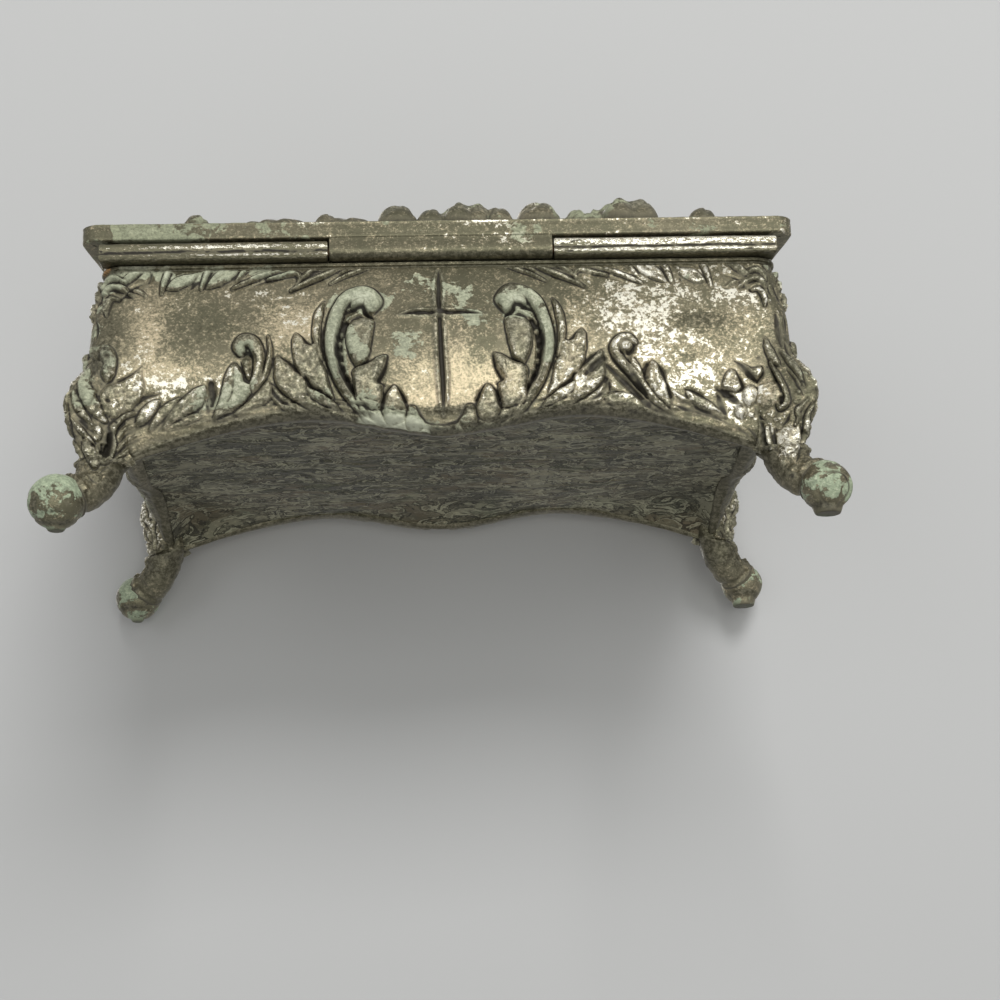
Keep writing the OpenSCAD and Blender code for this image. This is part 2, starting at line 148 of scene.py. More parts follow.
# ------------------------------------------------------- relief drawing tools
class Relief:
    """A height drawing in millimetres over a rectangle of the wall."""

    def __init__(self, u0, u1, v0, v1, step=0.1):
        self.u0, self.v0, self.step = u0, v0, step
        self.nu, self.nv = int(round((u1 - u0) / step)) + 1, int(round((v1 - v0) / step)) + 1
        self.U, self.V = np.meshgrid(u0 + np.arange(self.nu) * step, v0 + np.arange(self.nv) * step)
        self.h = np.zeros_like(self.U)
        self.dark = np.zeros_like(self.U)

    def window(self, pts, pad):
        lo, hi = pts.min(0) - pad, pts.max(0) + pad
        i0 = max(0, int((lo[0] - self.u0) / self.step)); i1 = min(self.nu, int((hi[0] - self.u0) / self.step) + 2)
        j0 = max(0, int((lo[1] - self.v0) / self.step)); j1 = min(self.nv, int((hi[1] - self.v0) / self.step) + 2)
        return slice(j0, j1), slice(i0, i1)

    def near(self, pts, w, pad):
        """Signed side, relative distance and place along a widening polyline."""
        sl = self.window(pts, pad)
        U, V = self.U[sl], self.V[sl]
        if U.size == 0:
            return sl, None, None, None
        best = np.full(U.shape, 1e9); at = np.zeros(U.shape); side = np.zeros(U.shape)
        n = len(pts)
        for i in range(n - 1):
            a, b = pts[i], pts[i + 1]
            ab = b - a
            L2 = ab @ ab + 1e-12
            t = np.clip(((U - a[0]) * ab[0] + (V - a[1]) * ab[1]) / L2, 0, 1)
            dx, dy = U - a[0] - t * ab[0], V - a[1] - t * ab[1]
            q = np.sqrt(dx * dx + dy * dy) / (w[i] + (w[i + 1] - w[i]) * t)
            m = q < best
            best = np.where(m, q, best)
            at = np.where(m, (i + t) / (n - 1), at)
            side = np.where(m, np.sign(ab[0] * dy - ab[1] * dx), side)
        return sl, best, at, side

    def stroke(self, P, W, H, kind="round", op="max", line=0.0, line_w=0.13, crease=0.0, n=None, veins=0):
        P = np.asarray(P, float)
        W = np.broadcast_to(np.asarray(W, float), (len(P),)) if np.ndim(W) == 0 else np.interp(np.linspace(0, 1, len(P)), np.linspace(0, 1, len(W)), W)
        H = np.full(len(P), float(H)) if np.ndim(H) == 0 else np.interp(np.linspace(0, 1, len(P)), np.linspace(0, 1, len(H)), H)
        n = n or max(8, 6 * len(P))
        pts, w, hh = spline(P, W, H, n)
        k = n // 5 + 3
        w = np.maximum(w * (1 + np.interp(np.linspace(0, 1, n), np.linspace(0, 1, k), rng.normal(0, 0.07, k))), 0.02)
        sl, q, at, side = self.near(pts, w, float(w.max()) + 3 * line_w + 0.1)
        if q is None:
            return self
        hv = np.interp(at, np.linspace(0, 1, len(hh)), hh)
        wv = np.interp(at, np.linspace(0, 1, len(w)), w)
        if kind == "round":
            f = np.sqrt(clamp01(1 - q * q))
        elif kind == "leaf":      # full body with a creased middle and a turned edge
            f = np.sqrt(clamp01(1 - q ** 3)) * (1 - crease * np.exp(-((q / 0.22) ** 2)))
            if veins:
                f = f * (1 - 0.22 * (0.5 + 0.5 * np.cos((at * veins + q * 0.9) * 2 * math.pi)) ** 2 * clamp01(q * 3))
        elif kind == "tube":
            f = clamp01(1 - q * q) ** 0.75
        elif kind == "vee":
            f = clamp01(1 - q)
        else:                       # a raised band with round shoulders
            f = smooth((1 - q) / 0.35)
        z = hv * f
        cur = self.h[sl]
        if op == "max":
            new = np.maximum(cur, z)
        elif op == "add":
            new = cur + z
        elif op == "cut":
            new = cur - z
        else:                       # laid over what is there
            mask = smooth((1.02 - q) / 0.14)
            new = cur * (1 - mask) + np.maximum(z, cur * 0.25) * mask
        if line:
            d = (q - 1.0) * wv
            g = line * np.exp(-((d - line_w * 0.55) / line_w) ** 2)
            new = new - g * (q > 0.93)
            self.dark[sl] = np.maximum(self.dark[sl], np.exp(-((d - line_w * 0.5) / (line_w * 1.0)) ** 2) * min(1.0, line * 4.0) * (q > 0.9))
        self.h[sl] = new
        return self

    def outline(self, P, h, b, line, axis, veins, base):
        """A raised shape inside a closed line, rounded over a border b wide."""
        P = np.asarray(P, float)
        Q = np.vstack([P[-1:], P, P[:2]])
        pts = []
        for i in range(len(P)):
            a, b_, c, d = Q[i:i + 4]
            for t in (0.0, 0.25, 0.5, 0.75):
                pts.append(0.5 * (2 * b_ + (c - a) * t + (2 * a - 5 * b_ + 4 * c - d) * t * t + (3 * b_ - a - 3 * c + d) * t ** 3) * 0.6 + (b_ + (c - b_) * t) * 0.4)
        pts = np.array(pts) + rng.normal(0, 0.03, (4 * len(P), 2))
        sl = self.window(pts, 0.8)
        U, V = self.U[sl], self.V[sl]
        if U.size == 0:
            return self
        dist = np.full(U.shape, 1e9)
        inside = np.zeros(U.shape, bool)
        for a, c in zip(pts, np.roll(pts, -1, 0)):
            ac = c - a
            t = np.clip(((U - a[0]) * ac[0] + (V - a[1]) * ac[1]) / (ac @ ac + 1e-12), 0, 1)
            dist = np.minimum(dist, np.hypot(U - a[0] - t * ac[0], V - a[1] - t * ac[1]))
            if a[1] != c[1]:
                hit = ((a[1] > V) != (c[1] > V)) & (U < (c[0] - a[0]) * (V - a[1]) / (c[1] - a[1]) + a[0])
                inside ^= hit
        z = h * (base + (1 - base) * np.sqrt(clamp01(1 - (1 - clamp01(dist / b)) ** 2)))
        if axis is not None:
            A, w1, _ = spline(np.asarray(axis, float), np.ones(len(axis)), np.ones(len(axis)), 24)
            _, q, at, side = self.near_in(sl, A, np.ones(24))
            z = z * (1 - 0.30 * np.exp(-((q / 0.16) ** 2)))
            if veins:
                z = z * (1 - 0.24 * (0.5 + 0.5 * np.cos((at * veins - q * 0.55) * 2 * math.pi)) ** 2 * clamp01(q * 4) * clamp01(dist * 3))
        cur = self.h[sl]
        soft = np.where(inside, clamp01(0.5 + dist / 0.12), clamp01(0.5 - dist / 0.12))
        new = cur * (1 - soft) + np.maximum(z, 0.2 * cur) * soft
        if line:
            g = np.exp(-((dist / 0.11) ** 2)) * np.where(inside, 0.3, 1.0)
            new = new - line * g
            self.dark[sl] = np.maximum(self.dark[sl] * np.where(inside, clamp01(1 - dist * 6), 1.0), g * min(1.0, line * 3.4))
        self.h[sl] = new
        return self

    def near_in(self, sl, pts, w):
        U, V = self.U[sl], self.V[sl]
        best = np.full(U.shape, 1e9); at = np.zeros(U.shape); side = np.zeros(U.shape)
        n = len(pts)
        for i in range(n - 1):
            a, b = pts[i], pts[i + 1]
            ab = b - a
            t = np.clip(((U - a[0]) * ab[0] + (V - a[1]) * ab[1]) / (ab @ ab + 1e-12), 0, 1)
            q = np.hypot(U - a[0] - t * ab[0], V - a[1] - t * ab[1]) / (w[i] + (w[i + 1] - w[i]) * t)
            m = q < best
            best = np.where(m, q, best)
            at = np.where(m, (i + t) / (n - 1), at)
        return sl, best, at, side

    def blob(self, c, r, h, op="add", power=1.0):
        c = np.asarray(c, float)
        r = np.asarray([r, r] if np.ndim(r) == 0 else r, float)
        sl = self.window(np.array([c]), float(r.max()) * 1.2)
        q = ((self.U[sl] - c[0]) / r[0]) ** 2 + ((self.V[sl] - c[1]) / r[1]) ** 2
        z = h * clamp01(1 - q) ** power
        if op == "add":
            self.h[sl] = self.h[sl] + z
        elif op == "max":
            self.h[sl] = np.maximum(self.h[sl], z)
        elif op == "cut":
            self.h[sl] = self.h[sl] - z
            self.dark[sl] = np.maximum(self.dark[sl], clamp01(1 - q) ** 0.5)
        return self

    def finish(self, soft=0.07):
        P = np.stack([self.U, self.V, 0 * self.U], -1).reshape(-1, 3)
        n1, n2 = (value_noise(P, s, k, 3).reshape(self.h.shape) for s, k in ((2.2, 101), (0.8, 102)))
        raised = clamp01(self.h * 3)
        self.h = blur(self.h + (0.12 + 0.88 * raised) * (0.13 * n1 + 0.10 * n2), soft / self.step)
        big, mid = blur(self.h, 0.6 / self.step), blur(self.h, 0.22 / self.step)
        # cav marks the hollows, which the metal darkens as dirt with painted shade; top marks raised parts
        self.cav = clamp01((mid - self.h) * 9) * 0.8 + clamp01((big - self.h) * 2.6) * 0.35
        self.cav = clamp01(np.maximum(self.cav, blur(self.dark * clamp01(0.85 + 0.8 * n2), 0.07 / self.step)))
        self.top = clamp01((self.h - big) * 4) * 0.6 + 0.4 * raised
        # edge marks convex ridges, which the metal gives worn flakes with a painted highlight
        self.edge = clamp01((self.h - mid) * 16 - 0.1) * raised
        return self

    def at(self, u, v, what="h"):
        A = getattr(self, what)
        fu = np.clip((u - self.u0) / self.step, 0, self.nu - 1.001)
        fv = np.clip((v - self.v0) / self.step, 0, self.nv - 1.001)
        i, j = fu.astype(int), fv.astype(int)
        a, b = fu - i, fv - j
        return (A[j, i] * (1 - a) + A[j, i + 1] * a) * (1 - b) + (A[j + 1, i] * (1 - a) + A[j + 1, i + 1] * a) * b


def blur(a, s):
    """Gaussian blur with a standard deviation of s cells."""
    r = max(1, int(3 * s))
    k = np.exp(-0.5 * (np.arange(-r, r + 1) / s) ** 2)
    k /= k.sum()
    for ax in (0, 1):
        pad = [(r, r) if i == ax else (0, 0) for i in (0, 1)]
        p = np.pad(a, pad, mode="edge")
        a = sum(k[i] * np.take(p, range(i, i + a.shape[ax]), axis=ax) for i in range(2 * r + 1))
    return a


def spline(P, W, H, n):
    """A smooth line through the points, with widths and heights along it."""
    Q = np.column_stack([P, W, H])
    if len(Q) == 2:
        t = np.linspace(0, 1, n)[:, None]
        R = Q[0] * (1 - t) + Q[1] * t
    else:
        Q = np.vstack([2 * Q[0] - Q[1], Q, 2 * Q[-1] - Q[-2]])
        out = []
        m = len(Q) - 3
        for s in np.linspace(0, m - 1e-9, n):
            i = int(s); t = s - i
            a, b, c, d = Q[i:i + 4]
            out.append(0.5 * (2 * b + (c - a) * t + (2 * a - 5 * b + 4 * c - d) * t * t + (3 * b - a - 3 * c + d) * t ** 3))
        R = np.array(out)
    return R[:, :2], np.maximum(R[:, 2], 0.0), R[:, 3]


def value_noise(p, scale, seed=0, octaves=4, rough=0.5):
    """Smooth noise at points p (N x 3), in about -1 to 1."""
    r = np.random.default_rng(seed)
    tab = r.random(4096)
    out = np.zeros(len(p)); amp, tot = 1.0, 0.0
    for o in range(octaves):
        q = p * scale * 2 ** o + 17.3 * o
        i = np.floor(q).astype(int); f = q - i
        f = f * f * (3 - 2 * f)
        v = 0
        for dx in (0, 1):
            for dy in (0, 1):
                for dz in (0, 1):
                    hsh = (i[:, 0] + dx) * 73856093 ^ (i[:, 1] + dy) * 19349663 ^ (i[:, 2] + dz) * 83492791
                    w = (f[:, 0] if dx else 1 - f[:, 0]) * (f[:, 1] if dy else 1 - f[:, 1]) * (f[:, 2] if dz else 1 - f[:, 2])
                    v = v + tab[hsh & 4095] * w
        out += amp * (v * 2 - 1); tot += amp; amp *= rough
    return out / tot


# --------------------------------------------------------------- mesh making
def make_object(name, verts, faces, attrs=None, mat=None, body="box", replaces=(), smooth_shade=True):
    """verts in mm; faces is a list of index arrays (quads, then triangles)."""
    me = bpy.data.meshes.new(name)
    v = np.asarray(verts, np.float32) / 1000.0
    me.vertices.add(len(v))
    me.vertices.foreach_set("co", v.ravel())
    loops, starts, totals, at = [], [], [], 0
    for f in faces:
        f = np.asarray(f, np.int32)
        if f.size == 0:
            continue
        k = f.shape[1]
        loops.append(f.ravel())
        starts.append(at + np.arange(len(f)) * k)
        totals.append(np.full(len(f), k))
        at += f.size
    loops, starts, totals = np.concatenate(loops), np.concatenate(starts), np.concatenate(totals)
    me.loops.add(len(loops)); me.loops.foreach_set("vertex_index", loops)
    me.polygons.add(len(starts))
    me.polygons.foreach_set("loop_start", starts.astype(np.int32))
    me.polygons.foreach_set("loop_total", totals.astype(np.int32))
    me.polygons.foreach_set("use_smooth", np.full(len(starts), smooth_shade))
    me.update(calc_edges=True)
    for k, a in (attrs or {}).items():
        at_ = me.attributes.new(k, "FLOAT", "POINT")
        at_.data.foreach_set("value", np.asarray(a, np.float32).ravel())
    me.validate()
    ob = bpy.data.objects.new(name, me)
    scene.collection.objects.link(ob)
    if mat:
        me.materials.append(mat)
    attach(ob, body)
    if replaces:
        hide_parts(*replaces)
    return ob


def grid_quads(m, n, wrap_m=False, wrap_n=False, flip=False):
    I = np.arange(m if wrap_m else m - 1)[:, None]
    J = np.arange(n if wrap_n else n - 1)[None, :]
    I2, J2 = (I + 1) % m, (J + 1) % n
    q = np.stack([I * n + J, I * n + J2, I2 * n + J2, I2 * n + J], -1).reshape(-1, 4)
    return q[:, ::-1] if flip else q


def grid_normals(V):
    du = np.gradient(V, axis=0)
    dv = np.gradient(V, axis=1)
    n = np.cross(du, dv)
    return n / (np.linalg.norm(n, axis=-1, keepdims=True) + 1e-12)


def orient(ob):
    """Point every face of a closed mesh outwards."""
    import bmesh
    bm = bmesh.new(); bm.from_mesh(ob.data)
    bmesh.ops.recalc_face_normals(bm, faces=bm.faces)
    bm.to_mesh(ob.data); bm.free()
    ob.data.set_sharp_from_angle(angle=math.radians(58))
    return ob


# ----------------------------------------------- the carving of the back wall
MID_X = 0.5


def wall_pts(pixels):
    return np.array([pix_to_wall(px, py) for px, py in pixels])


PX = 0.134          # one image point on the wall, in mm
FLIP, ENDS = [False], [False]
END_OFF = 18.1      # the ends carry the same corner growth, this much nearer the middle


def flip(P):
    u = P[:, 0] - END_OFF if ENDS[0] else P[:, 0]
    if FLIP[0]:
        u = (0.0 if ENDS[0] else 2 * MID_X) - u
    return np.column_stack([u, P[:, 1]])


def lobe(R, pixels, w, h, crease=0.22, line=0.22, prof=None, op="over", veins=0, line_w=0.10):
    """A leaf lobe along image points, w its half width in image points."""
    P = flip(wall_pts(pixels))
    prof = prof or [0.35, 0.8, 1.0, 0.85, 0.12]
    R.stroke(P, [w * PX * p for p in prof], [h * 0.8, h, h * 1.05, h * 0.95, h * 0.6], "leaf", op, line=line, crease=crease, veins=veins, line_w=line_w)


def ridge(R, pixels, w, h, op="max", line=0.0, prof=None, hprof=None, kind="round", line_w=0.10):
    P = flip(wall_pts(pixels))
    prof = prof or [0.5, 1.0, 1.0, 0.4]
    hprof = hprof or [0.7, 1.0, 1.0, 0.5]
    R.stroke(P, [w * PX * p for p in prof], [h * p for p in hprof], kind, op, line=line, line_w=line_w)


def groove(R, pixels, w, h, prof=None, black=0.95):
    P = flip(wall_pts(pixels))
    prof = prof or [0.4, 1.0, 1.0, 0.3]
    R.stroke(P, [max(0.04, w * PX * p) for p in prof], [h * min(1, p + 0.2) for p in prof], "round", "cut")
    pts, w2, _ = spline(P, np.interp(np.linspace(0, 1, len(P)), np.linspace(0, 1, len(prof)), [max(0.05, w * PX * p) for p in prof]), np.ones(len(P)), 6 * len(P))
    sl, q, at, side = R.near(pts, np.maximum(w2, 0.03), 1.0)
    if q is not None:
        R.dark[sl] = np.maximum(R.dark[sl], clamp01((1.30 - q) * 1.6) * black)


def blade(R, pixels, h, b=0.55, line=0.22, axis=None, veins=0, base=0.3):
    """A leaf from its outline in image points, swelling from its edge inwards."""
    P = flip(wall_pts(pixels))
    R.outline(P, h, b, line, None if axis is None else flip(wall_pts(axis)), veins, base)


def frieze(R):
    """Slanting leaf tips under the rim."""
    blade(R, [(120, 283), (126, 277), (133, 270), (142, 265), (153, 261), (151, 266), (143, 272), (136, 279), (127, 285)], 0.75, b=0.45, line=0.34)
    ridge(R, [(198, 260), (182, 262), (171, 268), (165, 280), (161, 294)], 3.0, 0.7, line=0.32, prof=[0.4, 0.9, 1, 1, 0.5])
    blade(R, [(166, 290), (172, 281), (181, 276), (191, 275), (198, 273), (194, 281), (187, 286), (177, 291)], 0.6, b=0.5, line=0.26)
    groove(R, [(190, 290), (195, 285), (203, 280)], 2.4, 0.35)
    ridge(R, [(232, 260), (217, 263), (208, 272), (201, 289)], 3.2, 0.75, line=0.32, prof=[0.4, 0.9, 1, 0.6])
    blade(R, [(206, 289), (211, 279), (218, 272), (228, 267), (243, 266), (238, 274), (230, 281), (218, 287)], 0.7, b=0.5, line=0.32, axis=[(208, 287), (222, 277), (240, 268)])
    ridge(R, [(278, 262), (262, 264), (247, 269), (235, 284)], 3.0, 0.7, line=0.34)
    ridge(R, [(232, 289), (250, 281), (263, 276), (274, 272)], 2.8, 0.75, line=0.34)
    ridge(R, [(308, 261), (288, 265), (273, 273)], 2.8, 0.65, line=0.32)
    ridge(R, [(268, 280), (284, 276), (296, 274), (300, 280), (293, 290)], 2.8, 0.75, line=0.34, prof=[0.6, 1, 1, 0.8, 0.4])
    ridge(R, [(350, 260), (330, 264), (314, 270), (298, 281)], 3.0, 0.7, line=0.34)
    ridge(R, [(291, 291), (309, 282), (328, 274), (345, 266)], 3.0, 0.8, line=0.36)
    ridge(R, [(404, 256), (382, 258), (360, 263), (340, 274)], 3.0, 0.75, line=0.32)
    ridge(R, [(330, 284), (346, 276), (362, 270), (378, 264)], 2.2, 0.5, line=0.26)
    ridge(R, [(376, 256), (354, 258), (334, 263)], 2.4, 0.5, line=0.26)
    groove(R, [(246, 290), (262, 283), (282, 279)], 1.4, 0.25)
    groove(R, [(152, 270), (150, 280), (145, 290)], 2.2, 0.28)
    for P in ([(172, 276), (182, 270), (196, 268)], [(212, 270), (222, 265), (236, 264)], [(250, 275), (262, 270), (276, 268)], [(304, 276), (318, 271), (334, 268)]):
        groove(R, P, 1.1, 0.22, black=0.8)
    if not ENDS[0]:
        ridge(R, [(402, 256), (438, 255), (440, 255)], 1.6, 0.3)
    # crumpled growth under the corner of the frieze
    ridge(R, [(132, 296), (124, 290), (113, 288), (106, 294), (104, 304)], 3.4, 0.65, line=0.3)
    ridge(R, [(126, 284), (116, 279), (107, 282), (103, 290)], 3.0, 0.6, line=0.3)
    ridge(R, [(119, 300), (112, 299), (107, 306), (106, 316)], 2.8, 0.55, line=0.28)
    ridge(R, [(146, 296), (138, 291), (130, 290)], 2.4, 0.4, line=0.24)
    ridge(R, [(100, 262), (104, 270), (101, 280)], 3.0, 0.5, line=0.24)
    for c, r, h in (((112, 293), 3, 0.3), ((121, 285), 3, 0.3), ((109, 272), 4, 0.35), ((124, 298), 3, 0.25), ((99, 296), 3, 0.35), ((103, 312), 3.5, 0.4)):
        R.blob(flip(wall_pts([c]))[0], (r * PX, r * PX * 0.8), h, op="add", power=0.5)
    for P in ([(108, 294), (115, 291), (124, 294)], [(104, 286), (110, 277), (117, 274)], [(126, 296), (135, 288), (146, 283)], [(98, 306), (104, 298), (110, 300)],
              [(118, 302), (126, 297), (134, 299)]):
        groove(R, P, 1.8, 0.35)


def half_design(R):
    """The left half as seen from the back; the other half is its mirror."""
    frieze(R)
    if ENDS[0]:
        end_rest(R)
        return
    # outer ribbon beside the big scroll
    ridge(R, [(324, 302), (319, 313), (316.5, 328), (317, 344), (322, 360)], 4.0, 0.6, line=0.3, prof=[0.2, 0.9, 1, 0.8, 0.2])
    # leaf with two tips, above; long leaf, below
    blade(R, [(296, 333), (302, 338), (306, 343), (311, 345), (315, 343), (318, 351), (321, 361), (325, 370), (329, 384), (334, 400), (322, 393), (312, 388),
              (307, 379), (301, 378), (296, 368), (293, 357), (292, 346), (292.5, 338)], 0.66, b=0.75, line=0.28, axis=[(328, 396), (315, 376), (305, 358), (297, 336)], veins=5)
    groove(R, [(302, 337), (306, 343), (311, 346)], 2.2, 0.3)
    groove(R, [(305, 376), (309, 384), (316, 389), (324, 392)], 2.0, 0.32)
    blade(R, [(277, 355), (284, 360), (291, 365), (297, 371), (301, 376), (305, 380), (309, 389), (319, 397), (331, 405), (345, 414), (356, 422), (332, 418),
              (314, 413), (300, 405), (286, 396), (277, 386), (274, 377), (274.5, 364)], 0.72, b=0.8, line=0.3, axis=[(350, 419), (318, 403), (292, 385), (278, 358)], veins=6)
    groove(R, [(280, 358), (288, 363), (295, 370), (301, 376)], 2.4, 0.32)
    blade(R, [(305, 387), (314, 390), (325, 396), (335, 404), (341, 412), (330, 409), (318, 404), (309, 397)], 0.95, b=0.5, line=0.24, base=0.6)
    blade(R, [(271, 384), (280, 393), (292, 402), (306, 409), (322, 416), (302, 415), (286, 411), (276, 404), (271, 396)], 0.5, b=0.5, line=0.24)
    groove(R, [(272, 386), (274, 394), (281, 402), (290, 407)], 2.0, 0.3)
    for P in ([(284, 402), (298, 409), (318, 415)], [(300, 404), (318, 410), (338, 418)], [(262, 404), (272, 409), (288, 413)], [(330, 404), (342, 413), (356, 421)]):
        groove(R, P, 1.1, 0.2, black=0.7)
    (right_scroll if FLIP[0] else small_scroll)(R)
    big_scroll(R)


def small_scroll(R):
    # stem and the small scroll
    blade(R, [(268, 380), (272, 390), (270, 400), (258, 407), (244, 412), (232, 417), (244, 404), (256, 393)], 0.45, b=0.5, line=0.2)
    ridge(R, [(268, 336), (270, 352), (266, 371), (256, 387), (242, 401), (221, 416)], 3.2, 0.6, op="over", line=0.32, prof=[0.3, 0.7, 0.9, 1, 0.9, 0.3])
    ridge(R, [(241, 353), (239, 346), (245, 340.5), (254, 344), (258.5, 358), (257, 376), (249, 391), (236, 404)], 6.0, 0.95, op="over", line=0.34,
          prof=[0.7, 1.0, 1.05, 1.0, 0.85, 0.75, 0.6, 0.3], hprof=[0.7, 1, 1, 1, .9, .8, .6, .4])
    groove(R, [(242, 354.5), (248, 353), (253, 357), (256, 365)], 2.2, 0.5)
    for c, a, h in (((246, 363), 0.5, 0.45), ((246.5, 370), 0.42, 0.42), ((248, 376), 0.36, 0.4)):
        R.blob(flip(wall_pts([c]))[0], a, h, op="max", power=0.5)
    groove(R, [(241, 362), (243, 371), (246, 379), (250, 384)], 1.6, 0.35)
    groove(R, [(252, 366), (252, 375), (249, 383)], 1.4, 0.3)
    # leaf on the far side of the small scroll
    blade(R, [(223, 386), (225, 376), (229, 368), (234.5, 363), (239, 367), (242, 374), (244, 382), (250, 385), (251, 393), (244, 403), (234, 411), (222, 417),
              (213, 420), (216, 409), (220, 398)], 0.85, b=1.0, line=0.34, axis=[(217, 416), (232, 396), (234, 366)], veins=0)
    # slot with a bead
    groove(R, [(211, 384), (212, 394), (210, 404), (208, 413)], 4.6, 0.55, prof=[0.8, 1, 0.9, 0.4])
    ridge(R, [(209.5, 397), (209, 403), (208.5, 409)], 2.2, 0.4, op="add")
    # a fan of leaves towards the leg
    blade(R, [(206, 385), (205.5, 394), (203, 404), (196, 411), (186, 417), (172, 425), (162, 431), (165, 420), (172, 408), (183, 398), (195, 389)], 0.72, b=0.8, line=0.32,
          axis=[(166, 426), (184, 410), (204, 388)], veins=3)
    lobe(R, [(150, 430), (158, 419), (168, 408), (180, 398)], 4.5, 0.5, line=0.28)
    lobe(R, [(168, 430), (180, 424), (194, 418), (206, 414)], 3.4, 0.4, line=0.24)
    blade(R, [(160, 400), (157, 410), (151, 419), (143, 425), (136, 428), (137, 419), (142, 409), (150, 402)], 0.72, b=0.6, line=0.32)
    groove(R, [(130, 413), (139, 401), (149, 396), (161, 394)], 2.4, 0.35)
    groove(R, [(158, 432), (166, 422), (176, 412)], 1.8, 0.3)
    groove(R, [(176, 432), (190, 424), (206, 418)], 1.2, 0.22, black=0.7)
    blade(R, [(143, 364), (141.5, 376), (144, 388), (141, 398), (134, 408), (126, 416), (116, 419), (107, 413), (101, 404), (100.5, 394), (108, 384.5), (120, 381), (133, 374)],
          0.45, b=0.9, line=0.10, axis=[(112, 412), (128, 396), (142, 368)], veins=4)
    groove(R, [(142.5, 366), (133, 374.5), (121, 381), (110, 385)], 1.8, 0.3)
    R.blob(flip(wall_pts([(107, 401)]))[0], 0.42, 0.35, op="cut")


def right_scroll(R):
    """The small scroll and leaves on the right of the image, which differ from those on the left."""
    keep, FLIP[0] = FLIP[0], False
    blade(R, [(603.6, 396.7), (618.2, 391.3), (634.5, 394.5), (649.1, 403.6), (663.6, 414.5), (649.1, 412.7), (630.9, 409.5), (612.7, 405.8)], 0.45, b=0.5, line=0.24, axis=[(605.5, 398.2), (627.3, 400.0), (660.0, 412.7)], veins=5)
    groove(R, [(605.5, 403.6), (621.8, 409.1), (641.8, 412.7), (663.6, 417.3), (678.2, 421.8)], 2.0, 0.3)
    ridge(R, [(670.0, 412.7), (654.5, 400.0), (644.5, 385.5), (637.3, 370.9), (631.8, 359.1)], 4.2, 0.6, op="over", line=0.3, prof=[0.3, 0.7, 0.9, 1.0, 0.7])
    ridge(R, [(676.4, 419.1), (660.0, 404.5), (646.4, 390.0), (634.5, 375.5), (623.6, 363.6), (616.0, 354.5), (614.9, 345.5), (619.5, 339.1), (627.6, 337.3), (634.5, 341.8)], 5.0, 0.85, op="over", line=0.34, prof=[0.3, 0.6, 0.8, 0.9, 1.0, 1.0, 0.95, 0.9, 0.8, 0.6], hprof=[.4, .6, .8, .9, 1, 1, 1, 1, .9, .7])
    R.blob(wall_pts([(625.0, 346.5)])[0], (0.95, 0.95), 1.05, op="max", power=0.55)
    groove(R, [(634.5, 343.3), (633.1, 349.1), (629.1, 353.1), (624.5, 351.3)], 2.2, 0.5)
    groove(R, [(607.6, 365.5), (621.8, 379.1), (634.5, 391.8), (647.3, 404.0), (663.6, 412.7), (679.1, 420.9)], 3.4, 0.5, prof=[0.5, 1, 1, 1, 1, 0.5])
    groove(R, [(625.5, 360.0), (631.8, 373.6), (639.1, 385.5), (646.4, 394.5)], 2.6, 0.45, prof=[0.5, 1, 1, 0.5])
    groove(R, [(612.7, 357.3), (624.5, 371.8), (637.3, 386.4), (654.5, 400.9)], 1.4, 0.3)
    groove(R, [(585.5, 374.5), (593.6, 367.3), (603.6, 358.2)], 4.0, 0.5, prof=[0.6, 1, 0.7])
    groove(R, [(606.4, 379.1), (608.4, 386.4)], 3.6, 0.4, prof=[0.8, 1])
    blade(R, [(646.4, 367.3), (651.8, 360.4), (658.5, 365.5), (662.2, 374.5), (665.8, 383.6), (671.8, 404.5), (667.3, 405.8), (656.4, 396.7), (647.6, 385.5), (644.5, 376.4)], 0.75, b=0.8, line=0.3, axis=[(667.3, 401.8), (656.4, 385.5), (651.3, 365.5)], veins=3)
    groove(R, [(647.6, 364.5), (645.8, 370.9), (646.9, 377.8)], 4.0, 0.55, prof=[0.7, 1, 0.6])
    groove(R, [(658.2, 365.5), (662.5, 373.6), (665.5, 383.3)], 2.8, 0.4)
    blade(R, [(685.5, 390.0), (696.4, 393.1), (707.3, 400.0), (718.2, 409.1), (728.2, 419.1), (714.5, 414.9), (700.0, 409.1), (689.1, 400.0)], 0.6, b=0.6, line=0.26)
    groove(R, [(667.3, 383.6), (669.8, 394.5), (672.0, 402.7)], 2.6, 0.4)
    groove(R, [(685.5, 389.1), (696.4, 394.2), (710.0, 402.2)], 2.6, 0.38)
    ridge(R, [(674.5, 392.7), (685.5, 400.4), (700.0, 407.3), (714.5, 414.9)], 2.2, 0.35, op="add")
    groove(R, [(673.6, 404.5), (685.5, 409.5), (703.6, 413.6), (721.8, 420.0)], 2.0, 0.3)
    for P in ([(690, 407), (704, 411), (722, 418)], [(672, 398), (684, 402), (698, 404)], [(640, 404), (656, 410), (676, 416)]):
        groove(R, P, 1.3, 0.22, black=0.75)
    FLIP[0] = keep


